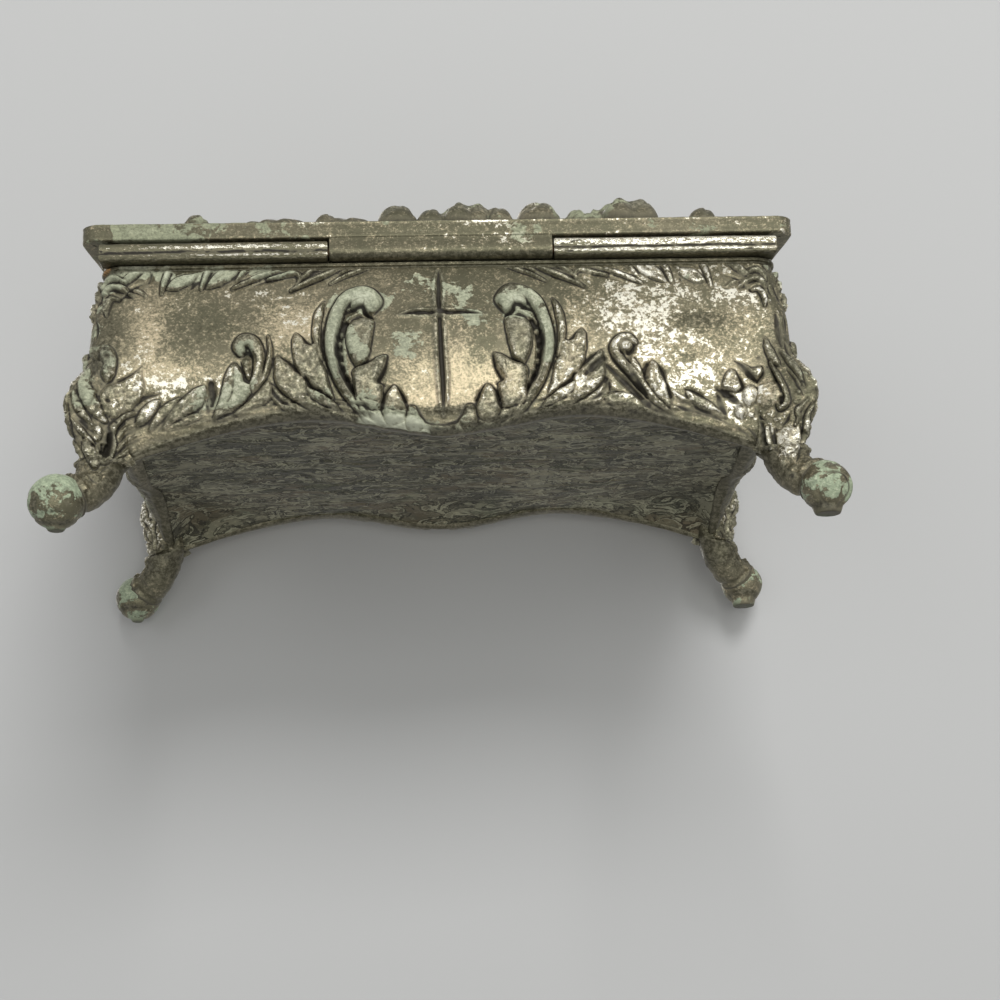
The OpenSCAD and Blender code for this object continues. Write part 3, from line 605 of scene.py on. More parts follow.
def right_knee(R):
    """Growth on the knee at the right of the image."""
    keep, FLIP[0] = FLIP[0], False
    # leaf tips that end in dark hollows
    blade(R, [(722, 388), (724, 377), (730, 369.5), (736, 372), (741, 382), (741.5, 388), (736, 392), (729, 390)], 0.7, b=0.6, line=0.28, axis=[(724, 386), (731, 378), (738, 374)], veins=2)
    groove(R, [(735.5, 372.7), (740, 381), (742.5, 387.5), (737.3, 391.8)], 2.4, 0.5)
    blade(R, [(734.5, 361), (742, 363.6), (752.7, 369), (760, 366), (763, 371), (757, 380), (749, 377), (740, 368)], 0.6, b=0.5, line=0.16)
    groove(R, [(735, 361), (742, 366.5), (749, 375), (757, 381.5)], 2.2, 0.4, prof=[0.4, 1, 1, 0.7])
    groove(R, [(761.5, 366), (763.5, 372), (758, 381)], 1.6, 0.35, prof=[0.6, 1, 0.8])
    groove(R, [(717, 389), (725, 393.5), (733, 399), (742, 406)], 3.6, 0.55, prof=[0.4, 1, 1, 0.6])
    groove(R, [(718.5, 395), (720, 404), (725.5, 414)], 3.6, 0.5, prof=[0.6, 1, 0.5])
    blade(R, [(744, 388), (752, 385), (757, 391), (755, 401), (748, 406), (743, 399)], 0.5, b=0.8, line=0.16)
    R.blob(wall_pts([(741, 412)])[0], (0.75, 0.75), 0.6, op="add", power=0.5)
    groove(R, [(754.5, 407), (757.5, 415.5), (765.5, 420.5)], 2.4, 0.4)
    # bulge under the curl, finely hatched
    R.blob(wall_pts([(769, 395)])[0], (1.7, 1.7), 0.5, op="add", power=0.5)
    for P in ([(757, 389), (768, 386), (779, 388)], [(757, 394.5), (768, 391.5), (779, 393)], [(757, 400), (768, 397), (777, 398)], [(760, 405), (768, 402.5), (776, 403)]):
        groove(R, P, 0.8, 0.12, black=0.45)
    ridge(R, [(770, 362), (776, 373), (782.7, 383.6), (786.4, 392.7), (787.3, 401.5), (783.6, 407), (780, 408), (778.2, 404.5)], 2.4, 0.75, line=0.32, prof=[0.5, 0.9, 1, 1, 1, 1, 0.9, 0.6], hprof=[.6, 1, 1, 1, 1, 1, .9, .7])
    groove(R, [(781, 398), (782, 403)], 2.0, 0.5, prof=[1, 1])
    groove(R, [(770.5, 366), (775, 377), (780, 388), (782, 396)], 1.2, 0.25, black=0.6)
    # lower knee: a crescent, a worn bulge and wavy folds
    ridge(R, [(767, 427), (768, 438), (771, 449), (775, 458)], 2.3, 0.6, line=0.3)
    groove(R, [(761.5, 423), (763, 437), (766.5, 449), (771.5, 460)], 3.4, 0.5, prof=[0.5, 1, 1, 0.5])
    groove(R, [(773.5, 428), (774.5, 440), (778.5, 453)], 2.0, 0.35)
    R.blob(wall_pts([(790, 443)])[0], (1.6, 2.0), 0.45, op="add", power=0.5)
    ridge(R, [(808, 399), (802, 406), (797, 411), (799, 417), (795, 425)], 2.3, 0.5, line=0.26)
    ridge(R, [(813, 404), (808, 414), (806, 425), (806, 438)], 2.3, 0.5, line=0.26)
    groove(R, [(790, 412), (787, 420), (781, 427)], 2.0, 0.35)
    groove(R, [(800, 425), (803, 436), (801, 450), (796, 462)], 2.4, 0.4)
    for c, r_, h_ in (((799, 392), 3.2, 0.35), ((795, 402), 2.6, 0.3), ((815, 420), 3.0, 0.35), ((752, 415), 3.0, 0.35), ((761, 412), 2.6, 0.3), ((778, 418), 3.4, 0.35), ((783, 462), 3.0, 0.3)):
        R.blob(wall_pts([c])[0], (r_ * PX, r_ * PX * 0.8), h_, op="add", power=0.5)
    # up the corner
    ridge(R, [(782, 352), (790, 362), (798, 372), (804, 385)], 3.0, 0.45, line=0.26)
    groove(R, [(786, 369), (796, 382), (803, 395)], 2.2, 0.35)
    blade(R, [(765, 336), (770, 344), (776, 355), (781, 366), (773, 364), (767, 356), (764, 346)], 0.55, b=0.5, line=0.28)
    groove(R, [(776, 314), (779, 329), (782, 345)], 3.6, 0.4, prof=[0.4, 1, 0.6])
    ridge(R, [(785, 298), (788.5, 318), (790, 340)], 2.8, 0.45, line=0.26)
    ridge(R, [(776, 266), (781, 280), (784, 296)], 2.4, 0.4, line=0.22)
    for P in ([(772, 284), (778, 296), (782, 306)], [(790, 344), (794, 356), (801, 366)], [(748, 428), (755, 436), (760, 446)], [(772, 464), (780, 470), (790, 474)], [(785, 340), (788, 352), (795, 358)]):
        groove(R, P, 1.7, 0.3)
    for P in ([(700, 424), (716, 428), (732, 436)], [(716, 418), (732, 426), (748, 436)], [(728, 420), (742, 430), (756, 444)], [(740, 440), (752, 450), (762, 462)]):
        groove(R, P, 1.2, 0.22, black=0.8)
    FLIP[0] = keep


def big_scroll(R):
    # the big C scroll with its beaded channel
    blade(R, [(348, 326), (354, 321), (363, 318.5), (373.5, 320), (373, 331), (371, 345), (368, 358), (362, 364), (356, 367), (350, 357), (346, 342), (346, 331)],
          0.85, b=1.1, line=0.3, base=0.25)
    groove(R, [(346, 324), (339.5, 338), (338.5, 354), (342, 372), (350, 388), (358, 402)], 4.2, 0.75, prof=[0.7, 1, 1, 1, 0.9, 0.5])
    for c in ((341.5, 334), (339, 343.5), (339.5, 353.5), (341, 364), (345.5, 374.5), (350.5, 385)):
        R.blob(flip(wall_pts([c]))[0], (0.40, 0.46), 0.62, op="add", power=0.5)
    ridge(R, [(370, 310), (374, 302), (366, 294.5), (353, 296), (342, 304), (335, 319), (330.5, 338), (331.5, 357), (338, 377), (348.5, 395), (361, 411), (376, 424), (394, 433)],
          7.4, 1.25, op="over", line=0.38, prof=[0.9, 1.1, 1.1, 1.0, 0.95, 0.88, 0.82, 0.75, 0.7, 0.65, 0.58, 0.5, 0.25], hprof=[0.8, 1.05, 1.05, 1, 1, .95, .9, .85, .8, .7, .6, .5, .3])
    R.blob(flip(wall_pts([(366, 302.5)]))[0], (2.15, 1.55), 1.4, op="max", power=0.55)
    groove(R, [(343, 315), (352, 310.5), (362, 309), (366, 314), (373, 319)], 2.0, 0.6, prof=[0.3, 1, 1, 1, 0.6])
    ridge(R, [(346, 321), (353, 316), (360, 314), (365, 318)], 1.8, 0.4, op="add")
    ridge(R, [(338, 323), (333.5, 341), (335.5, 363), (344, 385), (356.5, 403)], 1.8, 0.32, op="add", prof=[0.5, 1, 1, 1, 0.5])
    groove(R, [(331, 312), (325.5, 328), (324, 346), (326, 361), (333, 378)], 1.5, 0.25)
    # acanthus at the foot of the scroll
    blade(R, [(356, 404), (353.5, 386), (352.5, 372), (358, 366.5), (369, 362), (378, 357), (387, 355), (386, 366), (383, 375), (378.5, 382), (383, 385), (382, 400), (380, 413),
              (372, 420), (362, 414)], 0.85, b=1.2, line=0.34, base=0.3)
    groove(R, [(387, 357), (385, 368), (381, 377), (378, 383), (386, 386)], 1.9, 0.4)
    groove(R, [(356, 367), (366, 363.5), (376, 358)], 1.6, 0.3)
    ridge(R, [(377, 362), (377, 370), (374, 380)], 2.4, 0.25, op="add")
    blade(R, [(360, 400), (370, 411), (382, 411), (395, 413), (409, 412), (417, 416), (426, 423), (431, 432), (424, 439), (416, 443), (402, 443), (397, 435), (387, 428), (372, 419)],
          0.95, b=1.1, line=0.3, base=0.35)
    blade(R, [(381.5, 411), (383.5, 398), (389, 389), (394.5, 385.5), (399, 391), (404, 401), (408, 412), (402, 424), (387, 424)], 1.05, b=0.8, line=0.4, base=0.3)
    groove(R, [(391, 387), (385.5, 396), (382.5, 409)], 2.4, 0.5, prof=[0.3, 1, 1])
    groove(R, [(398, 388), (403, 397), (408, 409)], 2.2, 0.5, prof=[0.3, 1, 1])
    blade(R, [(407, 412), (409.5, 406.5), (416, 407), (420, 414), (426, 422), (417, 434), (405.5, 427)], 0.95, b=0.7, line=0.34, base=0.35)
    groove(R, [(416, 409), (421, 416), (427, 424)], 1.9, 0.4)
    # cup under the oval
    ridge(R, [(413, 414), (421, 422), (430, 427.5), (441, 429)], 2.2, 0.6, prof=[0.5, 1, 1, 1], hprof=[0.6, 1, 1, 1])
    groove(R, [(420, 417), (428, 423), (441, 425)], 2.2, 0.35)


def end_rest(R):
    """Middle of an end wall: two small scrolls either side of a palmette."""
    lobe(R, [(296, 424), (284, 408), (276, 390), (277, 366)], 8, 0.55, line=0.26, crease=0.15, veins=4)
    small_scroll(R)
    lobe(R, [(300, 432), (297, 412), (296, 390), (296, 366)], 9, 0.7, line=0.3, crease=0.2, veins=4)


def cross_sign(R):
    for P, prof, w in (([(438.5, 263), (438.5, 288), (439, 312)], [0.15, 1.0, 0.8], 3.4),
                       ([(439.5, 313), (441, 350), (443, 385), (443.6, 415)], [0.85, 1, 1, 0.4], 3.0),
                       ([(397, 315), (415, 312.5), (436, 312.5)], [0.12, 0.75, 0.9], 2.9),
                       ([(442, 312.5), (462, 312), (487, 314)], [0.9, 0.75, 0.12], 2.9)):
        R.stroke(wall_pts(P), [w * PX * p * 2.3 for p in prof], 0.32, "round", "add")
        groove(R, P, 1.0 * w, 0.7, prof=prof)
    R.blob(wall_pts([(439.3, 312.8)])[0], (0.6, 0.6), 0.32, op="max", power=0.5)


def knee_design(R):
    """Growth on the knees, drawn for the corner on the left of the image."""
    for f in (False, True):
        if f and not ENDS[0]:
            right_knee(R)
            break
        FLIP[0] = f
        # lumps up the corner
        blade(R, [(102, 350), (108, 345), (115, 352), (117, 362), (115, 372), (112, 380), (106, 383), (101, 374), (104, 364), (101, 357)], 0.8, b=0.7, line=0.34, base=0.3)
        R.blob(flip(wall_pts([(108, 358)]))[0], 0.4, 0.3, op="cut")
        ridge(R, [(88, 345), (92, 354), (98, 362)], 2.4, 0.45, line=0.25)
        ridge(R, [(92, 300), (90, 318), (87, 336), (84, 352)], 3.4, 0.5, line=0.26)
        for P in ([(99, 352), (97, 362), (98, 376)], [(90, 360), (94, 370), (95, 382)], [(86, 366), (90, 378)], [(94, 318), (97, 330), (95, 342)], [(98, 345), (104, 340)]):
            groove(R, P, 1.8, 0.3)
        # the big curl that ends in an eye
        ridge(R, [(136, 413), (124, 417.5), (114.5, 426), (111.5, 434), (113, 445), (110, 456), (103.5, 462), (98, 456), (97, 446)], 2.6, 0.75, op="max", line=0.3,
              prof=[0.5, 0.9, 1.0, 1.0, 1, 0.9, 0.9, 0.7, 0.5], hprof=[0.6, 1, 1, 1, 1, .9, .9, .8, .6])
        groove(R, [(105, 426), (106.5, 438), (105, 456)], 4.6, 0.8, prof=[0.7, 1.2, 0.9])
        ridge(R, [(101, 432), (104.5, 441), (103.5, 451)], 1.9, 0.65, op="add")
        R.blob(flip(wall_pts([(97, 433)]))[0], (0.6, 0.95), 0.7, op="max", power=0.5)
        # folds, and the ridge down the outer side
        ridge(R, [(104, 420), (95, 410), (88, 398), (84, 384), (88, 372)], 6.5, 0.7, line=0.14, prof=[0.4, 0.9, 1, 0.9, 0.5])
        ridge(R, [(92, 426), (84, 416), (77, 404), (73, 392)], 4, 0.6, line=0.2, prof=[0.3, 0.9, 1, 0.5])
        for c, r_, h_ in (((93, 392), 4, 0.35), ((86, 404), 3, 0.3), ((98, 404), 3, 0.3), ((79, 398), 3, 0.3), ((90, 380), 3.5, 0.3), ((104, 412), 3, 0.3)):
            R.blob(flip(wall_pts([c]))[0], (r_ * PX, r_ * PX * 0.7), h_, op="add", power=0.5)
        for P in ([(99, 396), (92, 400), (88, 408)], [(84, 390), (80, 400)], [(96, 384), (90, 388)], [(101, 408), (94, 412), (90, 420)]):
            groove(R, P, 1.2, 0.22, black=0.7)
        groove(R, [(97, 438), (89, 428), (81, 420), (72, 414)], 2.8, 0.55)
        ridge(R, [(94, 444), (86, 436), (78, 427), (71, 418)], 2.2, 0.5, line=0.2)
        groove(R, [(84, 446), (78, 438), (72, 430)], 1.6, 0.3)
        blade(R, [(84, 438), (92, 444), (98, 454), (100, 464), (94, 470), (87, 460), (82, 449)], 0.6, b=0.7, line=0.26)
        ridge(R, [(66, 404), (66, 420), (70, 436), (76, 452)], 3.0, 0.5, line=0.22)
        # rough skin between the curl and the wall's edge
        for P in ([(116, 432), (124, 424), (136, 419)], [(118, 444), (128, 434), (142, 428)], [(114, 458), (124, 448), (138, 440), (152, 434)], [(108, 468), (120, 460), (134, 450)],
                  [(122, 470), (132, 458), (146, 446)], [(96, 476), (104, 470), (112, 466)], [(88, 474), (92, 480), (100, 484)], [(110, 482), (118, 472), (126, 464)]):
            groove(R, P, 1.3, 0.24, black=0.8)
        for P in ([(117, 438), (126, 429), (139, 423)], [(116, 451), (126, 441), (142, 433)], [(112, 463), (124, 453), (140, 444)]):
            ridge(R, P, 1.6, 0.25, op="add")
    FLIP[0] = False


def edge_line(R, edge, u0, u1, up=0.55, h=0.25, w=0.22):
    u = np.linspace(u0, u1, 60)
    R.stroke(np.column_stack([u, edge(u) + up]), w, h, "round", "max", n=240)


def scratches(R, edge, half):
    """Fine lines that follow the lower border, between the ornament and the edge."""
    for k in range(int(3.2 * half)):
        u0 = rng.uniform(-half, half - 3); L = rng.uniform(1.5, 6.0); up = rng.uniform(0.15, 2.9)
        u = np.linspace(u0, min(half, u0 + L), 7)
        z = edge(u) + up + rng.normal(0, 0.06, 7).cumsum()
        R.stroke(np.column_stack([u, z]), rng.uniform(0.07, 0.17), rng.uniform(0.10, 0.22), "round", "cut" if rng.random() < 0.55 else "add", n=20)
        if rng.random() < 0.6:
            sl, q, at, side = R.near(np.column_stack([u, z]), np.full(7, 0.09), 0.3)
            if q is not None:
                R.dark[sl] = np.maximum(R.dark[sl], clamp01(1.2 - q) * 0.85)


print("drawing the carving")
CELL = 0.1
R_back = Relief(-53, 53, 0.0, 37.0, CELL)
for FLIP[0] in (False, True):
    half_design(R_back)
FLIP[0] = False
cross_sign(R_back)
worn_down = smooth((-R_back.U - 12) / 6) * smooth((R_back.V - 29.5) / 1.5)
R_back.h, R_back.dark = R_back.h * (1 - 0.30 * worn_down), R_back.dark * (1 - 0.35 * worn_down)
knee_design(R_back)
scratches(R_back, long_edge, 36)
edge_line(R_back, long_edge, -39, 39)
R_back.finish()
R_end = Relief(-36, 36, 0.0, 37.0, CELL)
ENDS[0] = True
for FLIP[0] in (False, True):
    half_design(R_end)
FLIP[0] = False
knee_design(R_end)
ENDS[0] = False
scratches(R_end, end_edge, 18)
edge_line(R_end, end_edge, -21, 21)
R_end.finish()


# ------------------------------------------------ where wear and patina gather, and where shade and sheen are painted
# (image point, spread in mm, strength)
# wear patches; some of them sit on bands of reflected light and brighten these as painted sheen
WEAR_AND_SHEEN = [((705, 345), (11, 5.5), 0.72), ((640, 322), (7, 5), 0.66), ((735, 296), (8, 2.6), 0.78), ((640, 286), (6, 2.0), 0.55), ((655, 272), (6, 1.8), 0.55), ((610, 300), (4, 4), 0.5), ((740, 262), (6, 1.2), 0.6),
        ((690, 385), (7, 2.5), 0.75), ((180, 388), (7, 2.2), 0.85), ((230, 378), (6, 2.0), 0.55), ((148, 350), (2.2, 4.5), 0.7), ((300, 318), (5, 3.5), 0.75), ((180, 310), (8, 1.2), 0.4),
        ((148, 412), (1.6, 1.5), 0.8), ((250, 294), (5, 1.2), 0.75), ((560, 330), (4, 8), 0.45), ((590, 395), (7, 3), 0.6), ((790, 442), (3, 2.5), 1.0), ((95, 452), (2.5, 3), 0.8),
        ((92, 420), (3, 2.0), 0.6), ((208, 404), (0.6, 1.0), 1.2), ((740, 405), (2.5, 2.5), 0.9), ((500, 392), (6, 1.6), 0.5), ((415, 385), (4, 2.5), 0.45), ((430, 400), (6, 1.2), 0.45),
        ((750, 393), (1.2, 1.2), 1.5), ((741, 412), (0.7, 0.8), 1.8), ((790, 443), (1.7, 1.9), 1.3), ((768, 440), (0.5, 1.5), 1.1), ((118, 372), (2.0, 1.2), 0.7),
        ((651, 272), (2.0, 1.0), 0.8), ((690, 272), (2.4, 1.0), 0.8), ((720, 272), (2.0, 0.9), 0.7), ((563, 385), (2.2, 2.0), 0.6), ((240, 400), (9, 2.5), 0.25), ((760, 420), (5, 2.5), 0.5), ((640, 420), (6, 2.5), 0.3)]
SAGE = [((464, 290), (3.0, 3.4), 1.3), ((478, 322), (2.6, 1.6), 1.0), ((405, 345), (3.4, 4.4), 1.02), ((418, 283), (3.0, 2.5), 0.95), ((362, 300), (3.2, 2.0), 1.8),
        ((518, 302), (3.2, 2.4), 1.7), ((335, 345), (1.6, 5.5), 1.5), ((356, 345), (1.6, 2.4), 0.9), ((388, 430), (4.6, 1.8), 2.4), ((402, 436), (3.6, 1.9), 2.0), ((365, 405), (2.0, 2.4), 1.0),
        ((500, 430), (7, 1.2), 1.0), ((548, 340), (1.6, 4.0), 1.0), ((318, 398), (1.8, 1.2), 1.2), ((245, 350), (1.4, 1.2), 1.2), ((236, 392), (2.4, 3.0), 0.9),
        ((196, 402), (3.0, 2.0), 1.0), ((136, 270), (2.6, 1.4), 1.5), ((185, 280), (3, 1.4), 1.35), ((168, 275), (0.8, 2), 0.9), ((215, 274), (2.6, 1.4), 1.4), ((262, 272), (2.6, 1.2), 1.0),
        ((82, 398), (1.7, 1.9), 1.2), ((105, 285), (2.4, 2.0), 1.2), ((90, 330), (1.6, 6), 1.0), ((790, 300), (1.8, 7), 1.5), ((775, 262), (3.0, 2.0), 1.1),
        ((106, 360), (1.0, 2.4), 0.8), ((690, 275), (8, 1.5), 0.6), ((150, 268), (4, 1.5), 0.5), ((290, 272), (4, 1.2), 0.5), ((470, 436), (3.0, 0.9), 1.0), ((805, 380), (1.5, 4), 1.0), ((300, 425), (12, 0.8), 0.6), ((560, 430), (8, 0.8), 0.5)]
# patches painted darker, as painted shade: under the hinge bars, inside the cup under the oval, over the upper field
# and beside lumps and leaves
DARK = [((98, 362), (1.4, 2.4), 0.9), ((225, 322), (8, 3.4), 0.35), ((190, 340), (6, 3.0), 0.25), ((445, 411), (4.5, 0.8), 1.1), ((560, 290), (7, 2), 0.35), ((112, 330), (1.8, 5.0), 0.7),
        ((250, 261), (22, 0.6), 0.45), ((640, 257), (22, 0.6), 0.4), ((120, 262), (5, 0.8), 0.6), ((160, 270), (7, 1.8), 0.2), ((460, 257), (12, 0.5), 0.4),
        ((780, 340), (1.6, 7), 0.5), ((765, 275), (4, 2), 0.4), ((820, 385), (1.2, 5), 0.7), ((385, 370), (1.5, 3), 0.25), ((600, 365), (1.5, 2), 0.7), ((720, 375), (1.6, 1.5), 0.5),
        ((756, 440), (1.4, 3), 0.8), ((130, 440), (3.5, 2.5), 0.35), ((700, 320), (4.5, 1.8), 0.9), ((690, 356), (1.5, 0.8), 0.6)]
RUST = [((104, 265), (1.0, 1.7), 1.15)]


def patches(table, x, z):
    out = np.zeros_like(x)
    for (px, py), (sx, sz), k in table:
        cx, cz = pix_to_wall(px, py)
        out += k * np.exp(-((x - cx) / sx) ** 2 - ((z - cz) / sz) ** 2)
    return out


# painted sheen: warm bands of reflected light laid into the colour, as (image point, spread in mm, strength)
PAINTED_SHEEN = [((690, 345), (9, 5), 0.30), ((769, 393), (1.8, 1.6), 0.9), ((731, 381), (1.4, 1.4), 0.7), ((745, 320), (4.0, 2.0), 0.25), ((648, 372), (1.2, 2.0), 0.5), ((790, 443), (2.0, 2.4), 0.5), ((565, 385), (2.5, 3.0), 0.4), ((495, 380), (5.0, 2.2), 0.85), ((455, 350), (2.0, 5.0), 0.5), ((150, 335), (2.0, 5.0), 0.8), ((178, 372), (5.5, 1.8), 0.65), ((300, 322), (5.0, 3.0), 0.75), ((415, 372), (4.0, 2.6), 0.55),
        ((430, 398), (6.0, 1.2), 0.8), ((620, 300), (6, 4), 0.2), ((575, 340), (2.5, 6), 0.4), ((270, 350), (3.0, 3.0), 0.3)]


def wear_attrs(x, y, z, cav, top, drawn, edge=0.0, at=None):
    """Vertex attributes that steer the finish, with painted shade and painted sheen among them. drawn is 1 where the
    back wall's patches apply.
    """
    P = np.stack([x, y, z], -1).reshape(-1, 3)
    soft = value_noise(P, 0.11, 3, 3).reshape(x.shape)
    soft2 = value_noise(P, 0.16, 11, 3).reshape(x.shape)
    px_, pz_ = (x, z) if at is None else at
    worn = patches(WEAR_AND_SHEEN, px_, pz_) * drawn + (0.22 + 0.8 * soft) * (1 - drawn)
    sage = patches(SAGE, px_, pz_) * drawn + (0.35 + 1.0 * soft2) * (1 - drawn)
    dark = patches(DARK, px_, pz_) * drawn
    rust = patches(RUST, px_, pz_) * drawn
    return {"cav": np.clip(cav, 0, 1), "top": np.clip(top, 0, 1), "worn": worn, "sage": sage, "dark": dark, "rust": rust,
            "edge": edge + 0.0 * x, "glow": patches(PAINTED_SHEEN, px_, pz_) * drawn}


# ------------------------------------------------------------------ materials
def node_group(nt):
    N = nt.nodes.new

    def tex(kind, scale, detail=3.0, rough=0.55, dist=0.0, vec=None, out=0):
        t = N("ShaderNodeTexNoise")
        t.inputs["Scale"].default_value = scale
        t.inputs["Detail"].default_value = detail
        t.inputs["Roughness"].default_value = rough
        t.inputs["Distortion"].default_value = dist
        if vec is not None:
            nt.links.new(vec, t.inputs["Vector"])
        return t.outputs["Fac" if out == 0 else "Color"]

    def ramp(src, a, b, lo=0.0, hi=1.0):
        m = N("ShaderNodeMapRange")
        m.interpolation_type = "SMOOTHSTEP"
        nt.links.new(src, m.inputs["Value"])
        m.inputs["From Min"].default_value = a
        m.inputs["From Max"].default_value = b
        m.inputs["To Min"].default_value = lo
        m.inputs["To Max"].default_value = hi
        return m.outputs["Result"]

    def math_(op, a, b=None, c=None, clamp=False):
        n = N("ShaderNodeMath")
        n.operation = op
        n.use_clamp = clamp
        for i, v in enumerate((a, b, c)):
            if v is None:
                continue
            if isinstance(v, (int, float)):
                n.inputs[i].default_value = v
            else:
                nt.links.new(v, n.inputs[i])
        return n.outputs[0]

    def mix(fac, a, b):
        n = N("ShaderNodeMix")
        n.data_type = "RGBA"
        for sock, v in ((n.inputs["Factor"], fac), (n.inputs[6], a), (n.inputs[7], b)):
            if isinstance(v, (int, float)):
                sock.default_value = v
            elif isinstance(v, tuple):
                sock.default_value = (*v, 1.0)
            else:
                nt.links.new(v, sock)
        return n.outputs[2]

    def attr(name):
        a = N("ShaderNodeAttribute")
        a.attribute_name = name
        return a.outputs["Fac"]

    return tex, ramp, math_, mix, attr


def metal(name, flake=0.0, sage=0.0, tone=0.0, streak=None, scale=1.0, base=(0.56, 0.485, 0.325), tarn=(0.155, 0.147, 0.097),
          bright=(0.93, 0.90, 0.78), green=(0.285, 0.302, 0.215), use_attrs=True, rough=0.40, metallic=0.85, bump=0.45, lines=0.0):
    """Worn silver plate over brass-toned metal with tarnish, sage patina, dirt and painted shade in the hollows, and
    painted sheen and highlights on bands, edges and streaks.
    """
    mat = bpy.data.materials.new(name)
    mat.use_nodes = True
    nt = mat.node_tree
    nt.nodes.clear()
    tex, ramp, M, mix, attr = node_group(nt)
    out = nt.nodes.new("ShaderNodeOutputMaterial")
    bsdf = nt.nodes.new("ShaderNodeBsdfPrincipled")
    nt.links.new(bsdf.outputs[0], out.inputs[0])
    tc = nt.nodes.new("ShaderNodeTexCoord").outputs["Object"]
    mp = nt.nodes.new("ShaderNodeMapping")
    mp.inputs["Scale"].default_value = streak or (0.9, 0.9, 1.1)
    nt.links.new(tc, mp.inputs["Vector"])
    vec = mp.outputs[0]
    big = tex("n", 95.0 * scale, 4.0, 0.6, 0.3, vec)
    mid = tex("n", 480.0 * scale, 4.0, 0.64, 0.5, vec)
    fine = tex("n", 1500.0 * scale, 4.0, 0.66, 0.3, vec)
    tiny = tex("n", 3800.0, 3.0, 0.7, 0.0, vec)
    if use_attrs:
        cav, top, worn, sg, dk = attr("cav"), attr("top"), attr("worn"), attr("sage"), attr("dark")
        edge, glow = attr("edge"), attr("glow")
    else:
        zero = M("MULTIPLY", tiny, 0.0)
        cav = top = dk = edge = glow = zero
        worn = sg = M("MULTIPLY", big, 0.3)
    speck = M("ADD", M("MULTIPLY", fine, 0.45), M("MULTIPLY", tiny, 0.55))
    # olive tarnish with a fine brassy grain
    # the painted sheen lifts this tone, and the dark attribute, with painted shade and dark lines in the hollows,
    # lowers it
    s0 = M("ADD", M("ADD", speck, M("MULTIPLY", M("SUBTRACT", mid, 0.5), 0.30)), M("MULTIPLY", M("SUBTRACT", M("ADD", M("MULTIPLY", worn, 0.30), M("MULTIPLY", glow, 1.3)), M("MULTIPLY", dk, 0.8)), 0.13))
    f_base = ramp(M("ADD", s0, M("MULTIPLY", M("SUBTRACT", big, 0.5), 0.14)), 0.46 - 0.1 * tone, 0.70 - 0.1 * tone)
    col = mix(f_base, tarn, base)
    col = mix(M("MULTIPLY", ramp(big, 0.42, 0.60), 0.30), col, (0.27, 0.235, 0.165))
    # a fine peach grain, and warm bands of painted sheen where the sheen attribute rises
    col = mix(M("MULTIPLY", ramp(M("ADD", M("MULTIPLY", glow, 0.40), M("MULTIPLY", M("SUBTRACT", speck, 0.5), 2.4)), 0.12, 0.62), 0.85), col, (0.72, 0.60, 0.42))
    # raised parts are greyer
    chip = M("ADD", M("MULTIPLY", fine, 0.62), M("MULTIPLY", tiny, 0.38))
    col = mix(M("MULTIPLY", top, 0.55), col, mix(ramp(chip, 0.43, 0.57), (0.155, 0.150, 0.105), (0.53, 0.515, 0.395)))
    # bright silver flakes with pits
    s_fl = M("ADD", M("MULTIPLY", mid, 0.36), M("ADD", M("MULTIPLY", fine, 0.44), M("MULTIPLY", tiny, 0.24)))
    # the worn attribute (wear and painted sheen) and convex edges (wear with painted highlight) add flakes; hollows
    # and the dark attribute take them away
    s_fl = M("ADD", s_fl, M("ADD", M("MULTIPLY", worn, 0.135), M("SUBTRACT", M("ADD", M("MULTIPLY", top, 0.012), M("MULTIPLY", edge, 0.035)), M("ADD", M("MULTIPLY", cav, 0.20), M("MULTIPLY", dk, 0.10)))))
    f_fl = ramp(s_fl, 0.650 - 0.1 * flake, 0.664 - 0.1 * flake)
    f_cream = ramp(s_fl, 0.61 - 0.1 * flake, 0.66 - 0.1 * flake)
    pit = ramp(M("ADD", M("MULTIPLY", fine, 0.6), M("MULTIPLY", tiny, 0.4)), 0.500, 0.478)
    f_fl = M("MULTIPLY", f_fl, M("SUBTRACT", 1.0, M("MULTIPLY", pit, 0.9)))
    # sage patina: a matt skin with crisp edges
    s_sg = M("ADD", M("MULTIPLY", big, 0.36), M("ADD", M("MULTIPLY", mid, 0.36), M("ADD", M("MULTIPLY", fine, 0.16), M("MULTIPLY", sg, 0.15))))
    s_sg = M("ADD", s_sg, M("SUBTRACT", M("MULTIPLY", top, 0.05), M("MULTIPLY", dk, 0.05)))
    f_sg = ramp(s_sg, 0.575 - 0.1 * sage, 0.60 - 0.1 * sage)
    rim = M("MULTIPLY", ramp(s_sg, 0.560 - 0.1 * sage, 0.575 - 0.1 * sage), M("SUBTRACT", 1.0, f_sg))
    f_fl2 = M("MULTIPLY", f_fl, M("SUBTRACT", 1.0, M("MULTIPLY", f_sg, 0.9)))
    col = mix(M("MULTIPLY", rim, 0.35), col, (0.06, 0.055, 0.038))
    col = mix(M("MULTIPLY", f_sg, 0.90), col, mix(ramp(speck, 0.36, 0.64), tuple(0.62 * g for g in green), tuple(1.12 * g for g in green)))
    pale = M("MULTIPLY", ramp(M("ADD", sg, M("MULTIPLY", M("SUBTRACT", speck, 0.5), 1.5)), 1.2, 2.1), M("MULTIPLY", f_sg, 0.7))
    col = mix(pale, col, (0.46, 0.475, 0.37))
    col = mix(M("MULTIPLY", f_cream, M("SUBTRACT", 0.30, M("MULTIPLY", f_sg, 0.28))), col, (0.62, 0.54, 0.39))
    col = mix(f_fl2, col, bright)
